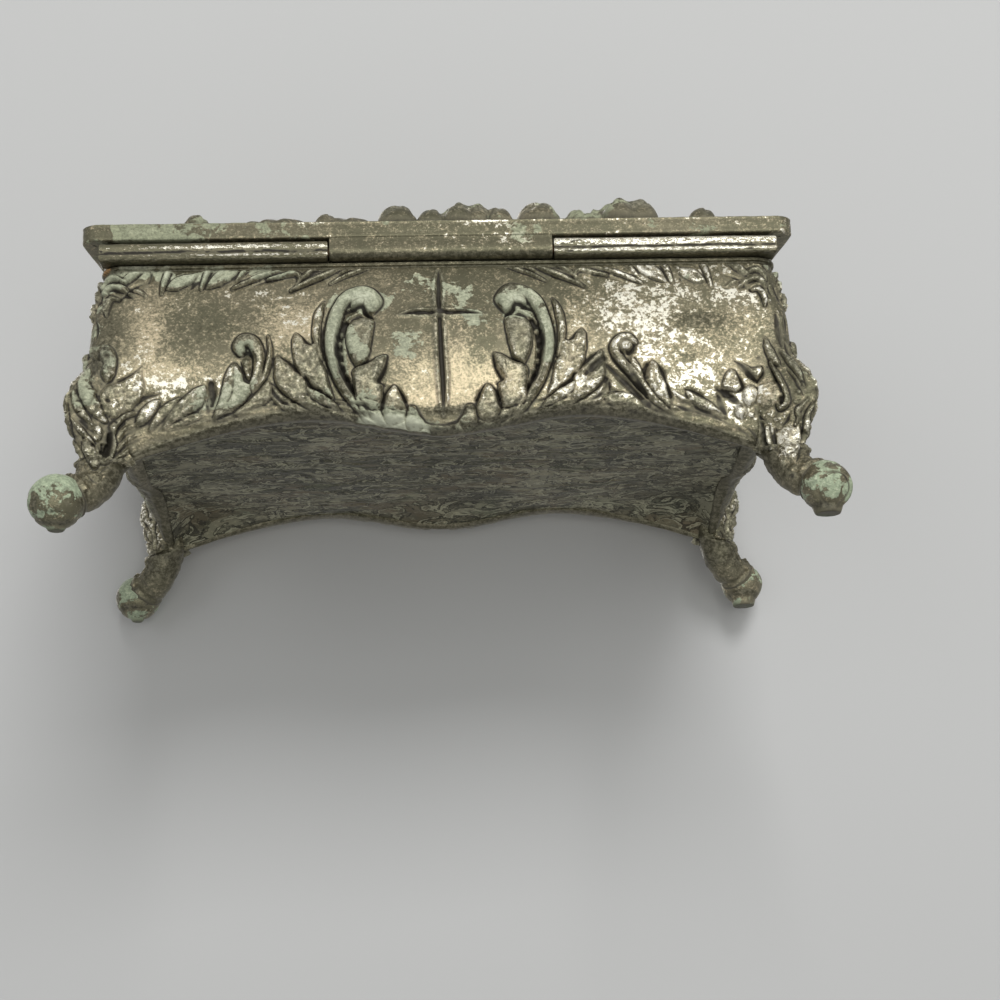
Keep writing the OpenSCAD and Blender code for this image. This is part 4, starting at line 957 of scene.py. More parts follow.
    # dirt with painted shade in the hollows: olive brown first, then nearly black, both with ragged borders
    c1 = ramp(M("ADD", cav, M("MULTIPLY", M("SUBTRACT", speck, 0.5), 0.9)), 0.20, 0.62)
    c2 = ramp(M("ADD", cav, M("MULTIPLY", M("SUBTRACT", speck, 0.5), 0.8)), 0.52, 0.90)
    col = mix(M("MULTIPLY", c1, 0.60), col, (0.080, 0.073, 0.048))
    col = mix(M("MULTIPLY", c2, 0.92), col, (0.012, 0.010, 0.008))
    # the dark attribute darkens further: painted shade patches, the shaded neck under the rim and toe sides, and dark
    # lines along the carving
    d1 = ramp(M("ADD", M("MULTIPLY", dk, 0.62), M("MULTIPLY", M("SUBTRACT", speck, 0.5), -1.0)), 0.10, 0.62)
    col = mix(M("MULTIPLY", d1, 0.70), col, mix(ramp(chip, 0.42, 0.58), (0.035, 0.032, 0.020), (0.15, 0.14, 0.098)))
    if lines:
        sg_ = M("SUBTRACT", tex("n", 300.0, 4.0, 0.60, 1.7, vec), 0.5)
        ab = M("ABSOLUTE", sg_)
        ln = ramp(ab, 0.036, 0.008)
        hl = M("MULTIPLY", ramp(sg_, 0.026, 0.046), ramp(sg_, 0.105, 0.060))
        patch = tex("n", 130.0, 3.0, 0.6, 0.8, vec)
        col = mix(M("MULTIPLY", ramp(patch, 0.50, 0.62), 0.55), col, (0.140, 0.108, 0.062))
        col = mix(M("MULTIPLY", ramp(patch, 0.47, 0.38), 0.60), col, (0.050, 0.050, 0.034))
        isle = tex("n", 170.0, 5.0, 0.62, 1.2, vec)
        col = mix(M("MULTIPLY", ramp(isle, 0.535, 0.552), 0.42), col, (0.27, 0.262, 0.180))
        col = mix(M("MULTIPLY", M("MULTIPLY", ramp(isle, 0.520, 0.535), ramp(isle, 0.552, 0.540)), 0.7), col, (0.020, 0.019, 0.012))
        col = mix(M("MULTIPLY", ramp(isle, 0.47, 0.44), 0.35), col, (0.030, 0.030, 0.019))
        # a painted highlight along one side of each streak line, and the line itself darkened
        col = mix(M("MULTIPLY", hl, 0.50 * lines), col, (0.42, 0.415, 0.295))
        col = mix(M("MULTIPLY", ln, 0.80 * lines), col, (0.020, 0.019, 0.012))
        col = mix(M("MULTIPLY", ramp(M("ADD", M("MULTIPLY", fine, 0.6), M("MULTIPLY", tiny, 0.4)), 0.53, 0.60), 0.35), col, (0.23, 0.225, 0.15))
    met = M("MULTIPLY", M("SUBTRACT", 1.0, M("MULTIPLY", f_sg, 0.85)), M("MAXIMUM", M("SUBTRACT", metallic, M("MULTIPLY", c1, 0.55)), 0.0))
    met = M("MAXIMUM", met, M("MULTIPLY", f_fl2, 0.9))
    if use_attrs:
        ru = attr("rust")
        f_r = ramp(M("ADD", ru, M("MULTIPLY", M("SUBTRACT", speck, 0.5), 1.2)), 0.35, 0.6)
        col = mix(M("MULTIPLY", f_r, 0.9), col, mix(ramp(tiny, 0.4, 0.62), (0.17, 0.085, 0.03), (0.42, 0.24, 0.09)))
        met = M("MULTIPLY", met, M("SUBTRACT", 1.0, M("MULTIPLY", f_r, 0.9)))
    nt.links.new(col, bsdf.inputs["Base Color"])
    nt.links.new(met, bsdf.inputs["Metallic"])
    r = M("ADD", rough - 0.04, M("MULTIPLY", tiny, 0.16))
    r = M("ADD", r, M("MULTIPLY", f_sg, 0.26))
    r = M("SUBTRACT", r, M("MULTIPLY", f_fl2, 0.10))
    r = M("ADD", r, M("MULTIPLY", c1, 0.15), clamp=True)
    nt.links.new(r, bsdf.inputs["Roughness"])
    h = M("ADD", M("MULTIPLY", fine, 0.45), M("MULTIPLY", tiny, 0.40))
    h = M("ADD", h, M("ADD", M("MULTIPLY", f_sg, 0.20), M("MULTIPLY", f_fl2, 0.14)))
    if lines:
        h = M("SUBTRACT", h, M("MULTIPLY", ln, 1.2))
    bp = nt.nodes.new("ShaderNodeBump")
    bp.inputs["Strength"].default_value = bump
    bp.inputs["Distance"].default_value = 0.00014
    nt.links.new(h, bp.inputs["Height"])
    nt.links.new(bp.outputs[0], bsdf.inputs["Normal"])
    return mat


def velvet(name, colour):
    mat = bpy.data.materials.new(name)
    mat.use_nodes = True
    nt = mat.node_tree
    tex, ramp, M, mix, attr = node_group(nt)
    bsdf = nt.nodes["Principled BSDF"]
    tc = nt.nodes.new("ShaderNodeTexCoord").outputs["Object"]
    pile, nap = tex("n", 6500.0, 2.0, 0.6, 0, tc), tex("n", 130.0, 3.0, 0.6, 0.6, tc)
    col = mix(ramp(nap, 0.35, 0.68), tuple(0.55 * c for c in colour), colour)
    col = mix(M("MULTIPLY", ramp(pile, 0.45, 0.7), 0.35), col, tuple(min(1.0, 1.7 * c) for c in colour))
    nt.links.new(col, bsdf.inputs["Base Color"])
    nt.links.new(ramp(nap, 0.3, 0.7, 0.75, 0.95), bsdf.inputs["Roughness"])
    bsdf.inputs["Sheen Weight"].default_value = 0.6
    bsdf.inputs["Sheen Roughness"].default_value = 0.4
    bp = nt.nodes.new("ShaderNodeBump")
    bp.inputs["Strength"].default_value = 0.5
    bp.inputs["Distance"].default_value = 0.0001
    nt.links.new(pile, bp.inputs["Height"])
    nt.links.new(bp.outputs[0], bsdf.inputs["Normal"])
    return mat


M_WALL = metal("wall metal")
M_LEG = metal("leg metal", sage=0.1, flake=0.15)
M_LID = metal("lid metal", flake=0.18, sage=0.25, tone=0.05, green=(0.225, 0.242, 0.160))
M_BAR = metal("bar metal", flake=0.75, sage=-0.6, tone=-0.3, streak=(0.8, 1.4, 2.0), scale=1.5, rough=0.32, bump=0.6)
M_PLATE = metal("plate metal", flake=-0.75, sage=0.2, tone=-0.6, streak=(0.62, 1.0, 1.0), bump=0.9, green=(0.130, 0.137, 0.092), base=(0.24, 0.215, 0.135),
                tarn=(0.064, 0.063, 0.036), metallic=0.4, lines=0.9, rough=0.5)
M_TOE = metal("toe metal", sage=0.35, flake=0.05, green=(0.27, 0.325, 0.225))
M_PIN = metal("pin metal", use_attrs=False, flake=-1.2, base=(0.22, 0.12, 0.06), tarn=(0.09, 0.05, 0.025), sage=-0.8, rough=0.55)
M_VELVET = velvet("velvet", (0.20, 0.012, 0.028))


# --------------------------------------------------------------------- walls
def loop_object(name, V, A, mat, body, replaces, flip_faces=False):
    """A closed piece from stations of closed loops, V is (stations, loop, 3)."""
    n, L = V.shape[:2]
    q = grid_quads(n, L, wrap_n=True, flip=flip_faces)
    cap0 = np.arange(L)[None, :]
    cap1 = ((n - 1) * L + np.arange(L))[None, :]
    if not flip_faces:
        cap0 = cap0[:, ::-1]
    else:
        cap1 = cap1[:, ::-1]
    # grid_quads goes along the loop first, so caps are wound to agree with it
    faces = [q, cap0[:, ::-1], cap1[:, ::-1]]
    return make_object(name, V.reshape(-1, 3), faces, {k: a.reshape(-1) for k, a in A.items()}, mat, body, replaces)


def wall_rows(edge, n_low):
    t = np.linspace(0, 1, n_low)
    low = edge[:, None] + (34.7 - edge[:, None]) * t[None, :]
    high = np.concatenate([np.linspace(34.76, 35.6, 16), [35.9, 36.6, 37.4, 38.0]])
    return np.concatenate([low, np.broadcast_to(high, (len(edge), len(high)))], 1)


def under(z, edge, u, half):
    """The lower border turns under between the legs."""
    return -0.7 * clamp01((edge + 1.3 - z) / 1.3) ** 1.8 * smooth((half - np.abs(u)) / 4.0)


def noise_height(x, y, z, k=0.035):
    P = np.stack([x, y, z], -1).reshape(-1, 3)
    return (k * value_noise(P, 0.9, 5, 3)).reshape(x.shape) + (0.6 * k * value_noise(P, 0.25, 9, 2)).reshape(x.shape)


def wall_piece(name, kind, sign):
    long_ = kind == "long"
    half = JX if long_ else JY
    n = int((560 if long_ else 310) * DENS)
    u = np.linspace(-half, half, n)
    edge = (long_edge if long_ else end_edge)(u)
    back = long_ and sign > 0
    Z = wall_rows(edge, int(138 * DENS))
    U = np.broadcast_to(u[:, None], Z.shape)
    R = R_back if long_ else R_end
    base = BY if long_ else BX
    neck = -0.684 if back else 0.1
    fade = 1 - smooth((Z - 34.4) / 0.35)
    out = base + belly(np.minimum(Z, 34.9)) + moulding(Z, neck)
    plain = np.stack([U, sign * out, Z] if long_ else [sign * out, U, Z], -1)
    out = out + R.at(U, Z) * fade + under(Z, edge[:, None], U, half - 1.5)
    if long_:
        out = out + boss(U, Z)
    streaks = value_noise((plain * (np.array([0.28, 0.28, 1.9]))).reshape(-1, 3), 1.0, 66, 4, 0.6).reshape(Z.shape)
    border = smooth((edge[:, None] + 3.0 - Z) / 2.2)
    out = out + 0.20 * streaks * border * (1 - clamp01(R.at(U, Z, "top")) * 0.7)
    out = out + noise_height(plain[..., 0], plain[..., 1], plain[..., 2]) * smooth((35.2 - Z) / 0.5 + 0.3)
    cav = R.at(U, Z, "cav") * fade
    top = R.at(U, Z, "top") * fade
    # convex ridges: wear there, with a painted highlight
    edge_wear_and_highlight = R.at(U, Z, "edge") * fade
    cav = np.maximum(cav, 0.6 * np.exp(-((Z - 34.86) / 0.10) ** 2))
    cav = np.maximum(cav, 0.7 * smooth((edge[:, None] + 0.35 - Z) / 0.25))
    cav = np.maximum(cav, clamp01(-streaks * 2.2 - 0.15) * border * 0.95)
    inner_base = IY if long_ else IX
    # rows: outer face, top edge, inner face, lower edge
    zi = np.concatenate([[38.2, 36.5, 34.5, 32, 29.5, 26, 22, 19.5, 18, 17, 16]])
    zi = np.concatenate([np.broadcast_to(zi, (n, len(zi))), edge[:, None] + (15.6 - edge[:, None]) * np.array([0.9, 0.6, 0.35, 0.12])[None, :]], 1)
    inn = inner_base + hollow(zi)
    top_o = out[:, -1:]
    rows_y = [out, top_o - 0.15, (top_o + inner_base) / 2, np.full((n, 1), inner_base + 0.15), inn,
              inn[:, -1:] * 0.75 + out[:, :1] * 0.25, inn[:, -1:] * 0.35 + out[:, :1] * 0.65, inn[:, -1:] * 0.08 + out[:, :1] * 0.92]
    rows_z = [Z, np.full((n, 1), 38.22), np.full((n, 1), 38.3), np.full((n, 1), 38.28), zi,
              edge[:, None] - 0.05, edge[:, None] - 0.12, edge[:, None] - 0.08]
    Yc, Zc = np.concatenate(rows_y, 1), np.concatenate(rows_z, 1)
    Uc = np.broadcast_to(u[:, None], Yc.shape)
    k = Z.shape[1]
    C = np.zeros_like(Yc); T = np.zeros_like(Yc)
    C[:, :k], T[:, :k] = cav, top
    E = np.zeros_like(Yc)
    E[:, :k] = edge_wear_and_highlight
    C[:, k:] = 0.3
    drawn = np.zeros_like(Yc)
    if back:
        drawn[:, :k] = 1.0
    if long_:
        V = np.stack([Uc, sign * Yc, Zc], -1)
    else:
        V = np.stack([sign * Yc, Uc, Zc], -1)
    A = wear_attrs(V[..., 0], V[..., 1], V[..., 2], C, T, drawn, E)
    # the border along the lower edge is the darkest part, and the neck under the rim is dark too, as painted shade
    # under the overhanging lid and, on the back, the hinge bars
    low = smooth((edge[:, None] + 2.0 - Zc) / 1.6) * (Zc > edge[:, None] - 0.1)
    A["dark"] = A["dark"] + 0.40 * low + 0.55 * smooth((edge[:, None] + 1.1 - Zc) / 0.5) * low + 0.6 * smooth((Zc - 34.3) / 0.5)
    A["worn"] = A["worn"] - 0.5 * low
    # thick sage skin hides what lies under it
    skin = smooth((A["sage"] - 1.25) / 0.6) * drawn * (Zc < 20)
    A["dark"] = A["dark"] * (1 - 0.9 * skin)
    A["cav"] = A["cav"] * (1 - 0.45 * skin)
    A["dark"][:, k:] = 0.9
    node = {("long", 1): "back_panel", ("long", -1): "front_panel", ("end", 1): "right_end_panel", ("end", -1): "left_end_panel"}[(kind, sign)]
    return orient(loop_object(name, V, A, M_WALL, "box", (node,)))


print("walls")
wall_piece("wall.back", "long", 1)
wall_piece("wall.front", "long", -1)
wall_piece("wall.right", "end", 1)
wall_piece("wall.left", "end", -1)


# ---------------------------------------------------------------------- legs
def leg_sections(n_arc, n_in):
    """Parameter along the outer face (0 to 10) and the loop's other points."""
    t = np.linspace(0, 10, n_arc)
    ti = np.linspace(10, 0, n_in)
    return t, ti


def leg_outer(z, t):
    xo, yo = BX + swell_leg(z), BY + swell_leg(z)
    a = np.radians(90 - 90 * np.clip((t - 1) / 8, 0, 1))
    ax, ay = xo - CORNER_R + CORNER_R * np.cos(a), yo - CORNER_R + CORNER_R * np.sin(a)
    f0, f1 = np.clip(t, 0, 1), np.clip(t - 9, 0, 1)
    x = np.where(t < 1, JX + (xo - CORNER_R - JX) * f0, np.where(t > 9, xo, ax))
    y = np.where(t < 1, yo, np.where(t > 9, (yo - CORNER_R) + (JY - yo + CORNER_R) * f1, ay))
    w = KNEE * smooth((23.8 - z) / 9.3) * np.abs(np.sin(np.pi * t / 10)) ** 1.5 * 0.7071
    return x + w, y + w


def swell_leg(z):
    return belly(np.minimum(z, 34.9)) + moulding(z)


def leg_inner(z, t, solid):
    if solid:
        r, cx, cy = 0.8, JX + 0.8, JY + 0.8
        a = np.radians(180 + 90 * np.clip((t - 1) / 8, 0, 1))
        x = np.where(t < 0.5, JX, np.where(t > 9.5, IX, cx + r * np.cos(a)))
        y = np.where(t < 0.5, IY, np.where(t > 9.5, JY, cy + r * np.sin(a)))
        return x, y
    xi, yi = IX + hollow(z), IY + hollow(z)
    a = np.radians(90 - 90 * np.clip((t - 1) / 8, 0, 1))
    x = np.where(t < 0.5, JX, np.where(t > 9.5, xi, xi - 1 + np.cos(a)))
    y = np.where(t < 0.5, yi, np.where(t > 9.5, JY, yi - 1 + np.sin(a)))
    return x, y


ANKLE = [((42.95, 24.6, 8.6), 2.8, 3.0, 4), ((43.1, 24.7, 7.6), 2.6, 2.75, 14), ((43.6, 25.1, 6.6), 2.5, 2.6, 30),
         ((44.3, 25.7, 5.7), 2.5, 2.5, 46), ((45.1, 26.3, 5.0), 2.6, 2.5, 62), ((46.0, 27.0, 4.4), 2.8, 2.7, 76)]
TOES = {1: ((47.25, 28.1, 3.72), 3.5), -1: ((46.75, 28.0, 3.62), 3.28)}


def leg_piece(name, sx, sy, node):
    n_arc, n_in = int(140 * DENS), 16
    t, ti = leg_sections(n_arc, n_in)
    m_out = t                                  # 0 .. 10
    m_in = 21 - ti                             # 11 .. 21
    m_all = np.concatenate([m_out, [10.33, 10.67], m_in, [21.33, 21.67]])
    TOE, ball_r = TOES[sx]
    z_post = np.concatenate([[38.3, 38.22], np.linspace(38.0, 35.7, 6), np.linspace(35.6, 34.76, int(16 * DENS)), np.linspace(34.7, 15.0, int(184 * DENS))])
    z_knee = np.linspace(14.9, 9.8, int(48 * DENS))
    back = sy > 0

    def seam(ox, oy, ix, iy, z):
        x = np.concatenate([ox, [ox[-1] * 2 / 3 + ix[0] / 3, ox[-1] / 3 + ix[0] * 2 / 3], ix, [ix[-1] * 2 / 3 + ox[0] / 3, ix[-1] / 3 + ox[0] * 2 / 3]])
        y = np.concatenate([oy, [oy[-1] * 2 / 3 + iy[0] / 3, oy[-1] / 3 + iy[0] * 2 / 3], iy, [iy[-1] * 2 / 3 + oy[0] / 3, iy[-1] / 3 + oy[0] * 2 / 3]])
        return np.stack([x, y, np.broadcast_to(z, x.shape)], -1)

    rings = []
    for z in z_post:
        ox, oy = leg_outer(z, t)
        if back:
            oy = np.minimum(oy, WALL_BACK + 3.2 * (1 - step(z, 35.45)))
        if z > 38.1:
            ox, oy = ox - 0.1 * (z > 38.25), oy - 0.1 * (z > 38.25)
        ix, iy = leg_inner(z, ti, False)
        rings.append(seam(ox, oy, ix, iy, z))
    for z in z_knee:
        ox, oy = leg_outer(z, t)
        ix, iy = leg_inner(z, ti, True)
        rings.append(seam(ox, oy, ix, iy, z))

    def oval(c, a, b, lean):
        u, d, t_ = np.radians(8.18 + 16.3636 * m_all), 0.7071, np.radians(lean)
        return np.stack([c[0] - a * np.cos(u) * d + b * np.sin(u) * np.cos(t_) * d,
                         c[1] + a * np.cos(u) * d + b * np.sin(u) * np.cos(t_) * d,
                         c[2] + b * np.sin(u) * np.sin(t_)], -1)

    ox, oy = leg_outer(9.2, t)
    ix, iy = leg_inner(9.2, ti, True)
    k92 = seam(ox, oy, ix, iy, 9.2)
    keys = [rings[-8], rings[-1], k92 * 0.4 + oval((43.0, 24.6, 9.2), 3.0, 3.3, 2) * 0.6] + [oval(*a) for a in ANKLE]
    keys.append(oval((46.9, 27.8, 4.1), 2.4, 2.3, 82))
    keys.append(2 * keys[-1] - keys[-2])
    K = np.array(keys)
    for i in range(1, len(K) - 2):
        a, b, c, d = K[i - 1], K[i], K[i + 1], K[i + 2]
        for s in np.linspace(0, 1, 9)[1:]:
            rings.append(0.5 * (2 * b + (c - a) * s + (2 * a - 5 * b + 4 * c - d) * s * s + (3 * b - a - 3 * c + d) * s ** 3))
    V = np.array(rings)
    outer = np.zeros(V.shape[1]); outer[:n_arc] = 1
    Nn = grid_normals(np.concatenate([V[:, -1:], V, V[:, :1]], 1))[:, 1:-1]
    No = grid_normals(V[:, :n_arc])
    mid = V.mean(1, keepdims=True)
    if np.sum(No[:40, n_arc // 2] * (V[:40, n_arc // 2] - mid[:40, 0])) < 0:
        No = -No
    # square to the walls where the leg meets them
    k0, k1 = 1 - smooth(t / 1.3)[None, :, None], smooth((t - 8.7) / 1.3)[None, :, None]
    high = smooth((V[:, :n_arc, 2:3] - 9.5) / 3.0)
    No = No * (1 - (k0 + k1) * high) + (k0 * np.array([0, 1.0, 0]) + k1 * np.array([1.0, 0, 0])) * high
    Nn[:, :n_arc] = No / np.linalg.norm(No, axis=-1, keepdims=True)
    X, Y, Zz = V[..., 0], V[..., 1], V[..., 2]
    plain = V.copy()
    S = np.array([sx, sy, 1.0])
    # the growth is drawn as seen from the back, and carried round to the end's own
    Pv = V * np.array([sx, 1.0, 1.0])
    Nv = Nn * np.array([sx, 1.0, 1.0])
    see = CAM_C - Pv
    see /= np.linalg.norm(see, axis=-1, keepdims=True)
    wb = smooth(((see * Nv).sum(-1) - 0.12) / 0.34)
    du, dv = to_drawing(Pv)
    m = outer[None, :] * (1 - smooth((Zz - 34.4) / 0.35)) * smooth((Zz - 4.4) / 2.0)
    fine = smooth((Zz - 6.0) / 4.0) * 0.55 + 0.45
    h = (wb * R_back.at(du, dv) + (1 - wb) * R_end.at(sy * Y, Zz)) * m * fine
    cav = (wb * R_back.at(du, dv, "cav") + (1 - wb) * R_end.at(sy * Y, Zz, "cav")) * m
    top = (wb * R_back.at(du, dv, "top") + (1 - wb) * R_end.at(sy * Y, Zz, "top")) * m
    edge_wear_and_highlight = (wb * R_back.at(du, dv, "edge") + (1 - wb) * R_end.at(sy * Y, Zz, "edge")) * m
    cav = np.maximum(cav, outer[None, :] * 0.6 * np.exp(-((Zz - 34.86) / 0.10) ** 2))
    # two collars where the leg enters the toe
    axis = np.array(TOE) - np.array((43.6, 25.1, 6.6))
    L = np.linalg.norm(axis)
    al = ((V - np.array((43.6, 25.1, 6.6))) @ (axis / L)) / L
    col_ = (np.exp(-((al - 0.50) / 0.07) ** 2) + 0.8 * np.exp(-((al - 0.78) / 0.07) ** 2)) * (Zz < 7.2)
    h = h + 0.34 * col_
    cav = np.maximum(cav, 0.8 * np.exp(-((al - 0.64) / 0.06) ** 2) * (Zz < 7.2))
    P3 = plain * S
    h = h + noise_height(P3[..., 0], P3[..., 1], P3[..., 2]) * smooth((35.2 - Zz) / 0.5 + 0.3) * outer[None, :]
    rough = value_noise(P3.reshape(-1, 3), 1.15, 55, 4, 0.6).reshape(h.shape)
    low = np.where(outer[None, :] > 0, smooth((15.5 - Zz) / 5.0), smooth((13.0 - Zz) / 3.0))
    h = h + 0.22 * rough * low + 0.15 * rough * outer[None, :] * smooth((27 - Zz) / 5.0)
    cav = np.maximum(cav, clamp01(-rough * 1.9 - 0.12) * np.maximum(low, outer[None, :] * smooth((27 - Zz) / 5.0)) * 0.9)
    V = V + Nn * h[..., None]
    V[..., 2] = np.maximum(V[..., 2], 0.02)
    V = V * S
    drawn = (outer[None, :] * np.ones_like(Zz)) * wb * (1.0 if back else 0.0)
    A = wear_attrs(V[..., 0], V[..., 1], V[..., 2], np.where(outer[None, :] > 0, cav, np.maximum(cav, 0.35)), top, drawn, edge_wear_and_highlight, (du, dv))
    neck_dark = smooth((11.5 - Zz) / 3.0) * smooth((Zz - 5.0) / 1.5)
    # painted shade in the neck under the rim, as on the walls; the ankle and the inner faces are darkened too
    A["dark"] = A["dark"] + 0.55 * neck_dark + 0.6 * smooth((Zz - 34.3) / 0.5) + 0.5 * (1 - outer[None, :])
    A["sage"] = A["sage"] - 0.5 * neck_dark
    leg = loop_object(name, V, A, M_LEG, "box", (node,))
    # the ball toe on its small pad
    nu, nv = int(150 * DENS), int(96 * DENS)
    th = np.linspace(0, 2 * np.pi, nu, endpoint=False)[None, :]
    ph = np.linspace(0, np.pi, nv)[1:-1, None]
    D = np.stack([np.sin(ph) * np.cos(th), np.sin(ph) * np.sin(th), np.cos(ph) * np.ones_like(th)], -1)
    P3 = (D * ball_r + np.array(TOE)) * S
    n1 = value_noise(P3.reshape(-1, 3), 0.30, 21, 2).reshape(D.shape[:2])
    n2 = value_noise(P3.reshape(-1, 3), 1.1, 22, 4, 0.6).reshape(D.shape[:2])
    cavity = clamp01(-n2 * 1.5 - 0.25)
    r = ball_r + 0.10 * n1 + 0.08 * n2 - 0.10
    if sx < 0:
        # a ring line round its outer face, with a ridge above it
        face = np.degrees(np.arccos(np.clip(D @ (np.array((0.15, 0.92, -0.36)) / 0.9996), -1, 1)))
        ring = np.exp(-((face - 41) / 4.5) ** 2)
        ring = ring * clamp01(0.7 + 1.2 * n1)
        r = r - 0.22 * ring + 0.10 * np.exp(-((face - 54) / 6) ** 2)
        cavity = np.maximum(cavity, ring * 0.8)
    else:
        r = r - 0.10 * np.exp(-((D[..., 2] + 0.62) / 0.05) ** 2)
    B = D * r[..., None] + np.array(TOE)
    rho = np.hypot(B[..., 0] - TOE[0], B[..., 1] - TOE[1])
    pad = smooth(((1.3 if sx > 0 else 1.9) + 0.6 * n1 - rho) / 0.5) * (D[..., 2] < -0.5)
    B[..., 2] = np.maximum(B[..., 2], 0.12)
    B[..., 2] = B[..., 2] * (1 - pad) + 0.02 * pad
    B[..., 0], B[..., 1] = np.minimum(B[..., 0], 50.86), np.minimum(B[..., 1], 31.66)
    poles = np.array([[TOE[0], TOE[1], TOE[2] + ball_r - 0.1], [TOE[0], TOE[1], 0.0]])
    B = B * S
    poles = poles * S
    n0 = (nv - 2) * nu
    tri0 = np.stack([np.full(nu, n0), np.arange(nu), (np.arange(nu) + 1) % nu], -1)
    last = (nv - 3) * nu
    tri1 = np.stack([np.full(nu, n0 + 1), last + (np.arange(nu) + 1) % nu, last + np.arange(nu)], -1)
    vv = np.concatenate([B.reshape(-1, 3), poles])
    cz = np.concatenate([np.maximum(cavity, np.clip((0.9 - B[..., 2]) / 0.9, 0, 1) * 0.7).ravel(), [0, 0.8]])
    A2 = wear_attrs(vv[:, 0], vv[:, 1], vv[:, 2], cz, np.zeros(len(vv)), np.zeros(len(vv)))
    A2["sage"] = A2["sage"] * 0.25 + (0.95 if sx > 0 else 0.55)
    A2["worn"] = A2["worn"] * 0.25 + (0.0 if sx > 0 else 0.35)
    # painted shade round the sides and foot of the ball, placed by image point
    qx, qy = to_pixels(vv * np.array([1.0, sy, 1.0]))
    spots = [((34, 502), (3.0, 9.0), 1.2), ((91, 505), (12.0, 8.0), 1.4), ((54, 522), (24, 3.5), 1.0)] if sx > 0 else [((806, 470), (6, 6), 0.9), ((846, 470), (3, 9), 0.8), ((822, 505), (24, 4), 1.0)]
    for (cx_, cy_), (ax_, ay_), k_ in spots:
        g = k_ * np.exp(-((qx - cx_) / ax_) ** 2 - ((qy - cy_) / ay_) ** 2)
        A2["dark"] = A2["dark"] + g
        A2["sage"] = A2["sage"] - g
        A2["cav"] = np.clip(A2["cav"] + 0.45 * g, 0, 1)
    toe = make_object(name + ".toe", vv, [grid_quads(nv - 2, nu, wrap_n=True), tri0, tri1], A2, M_TOE, "box", ())
    return orient(leg), orient(toe)


print("legs")
for sx, sy, nm in ((1, 1, "back_right"), (-1, 1, "back_left"), (1, -1, "front_right"), (-1, -1, "front_left")):
    leg_piece("leg." + nm.replace("_", "."), sx, sy, "leg_" + nm)


# ----------------------------------------------------------------------- lid
def wave(t):
    a = np.abs(t)
    return np.where(a < 0.55, smooth(a / 0.55) * 0.75 + 0.25 * smooth(a / 0.3), 1 - smooth((a - 0.55) / 0.45))


ROSES = [(-3.2, 20.6, 4.4), (-24.6, 20.4, 5.0), (38.4, 9.5, 3.2)]
BUDS = [(5.6, 22.3, 2.7), (1.1, 21.8, 2.2), (-7.6, 21.8, 2.3), (-13.1, 22.0, 3.0), (-18.2, 22.4, 1.6), (-35, 21.4, 2.0), (32, 21.8, 1.8), (15.0, 22.2, 1.5)]
LEAVES = [(9, 21.5, 5, 8, 3.2), (17.5, 21.8, 0, 9, 3), (-16.5, 22.2, 170, 6, 3), (27, 19, 20, 7, 3), (-29.5, 20, 190, 7, 3),
          (38, 15, 60, 6, 3), (-39, 15, 110, 6, 3), (36.5, 3.6, 250, 7, 3)]


def dome(x, y):
    """Height of the lid's raised field over its edge."""
    e = np.minimum(46 - 1.1 * wave(y / 27.2) - np.abs(x), np.where(y < 0, 27.2 - 0.9 * wave(x / 46), 27.2) - np.abs(y))
    ins = [0.0, 0.75, 0.85, 1.05, 1.15, 1.5, 2.4, 3.8, 6, 9, 13, 18, 23, 60]
    hh = [0.0, 0.0, 0.22, 0.25, 0.27, 0.76, 1.11, 1.48, 1.77, 1.97, 2.14, 2.24, 2.30, 2.30]
    return np.interp(e, ins, hh), e


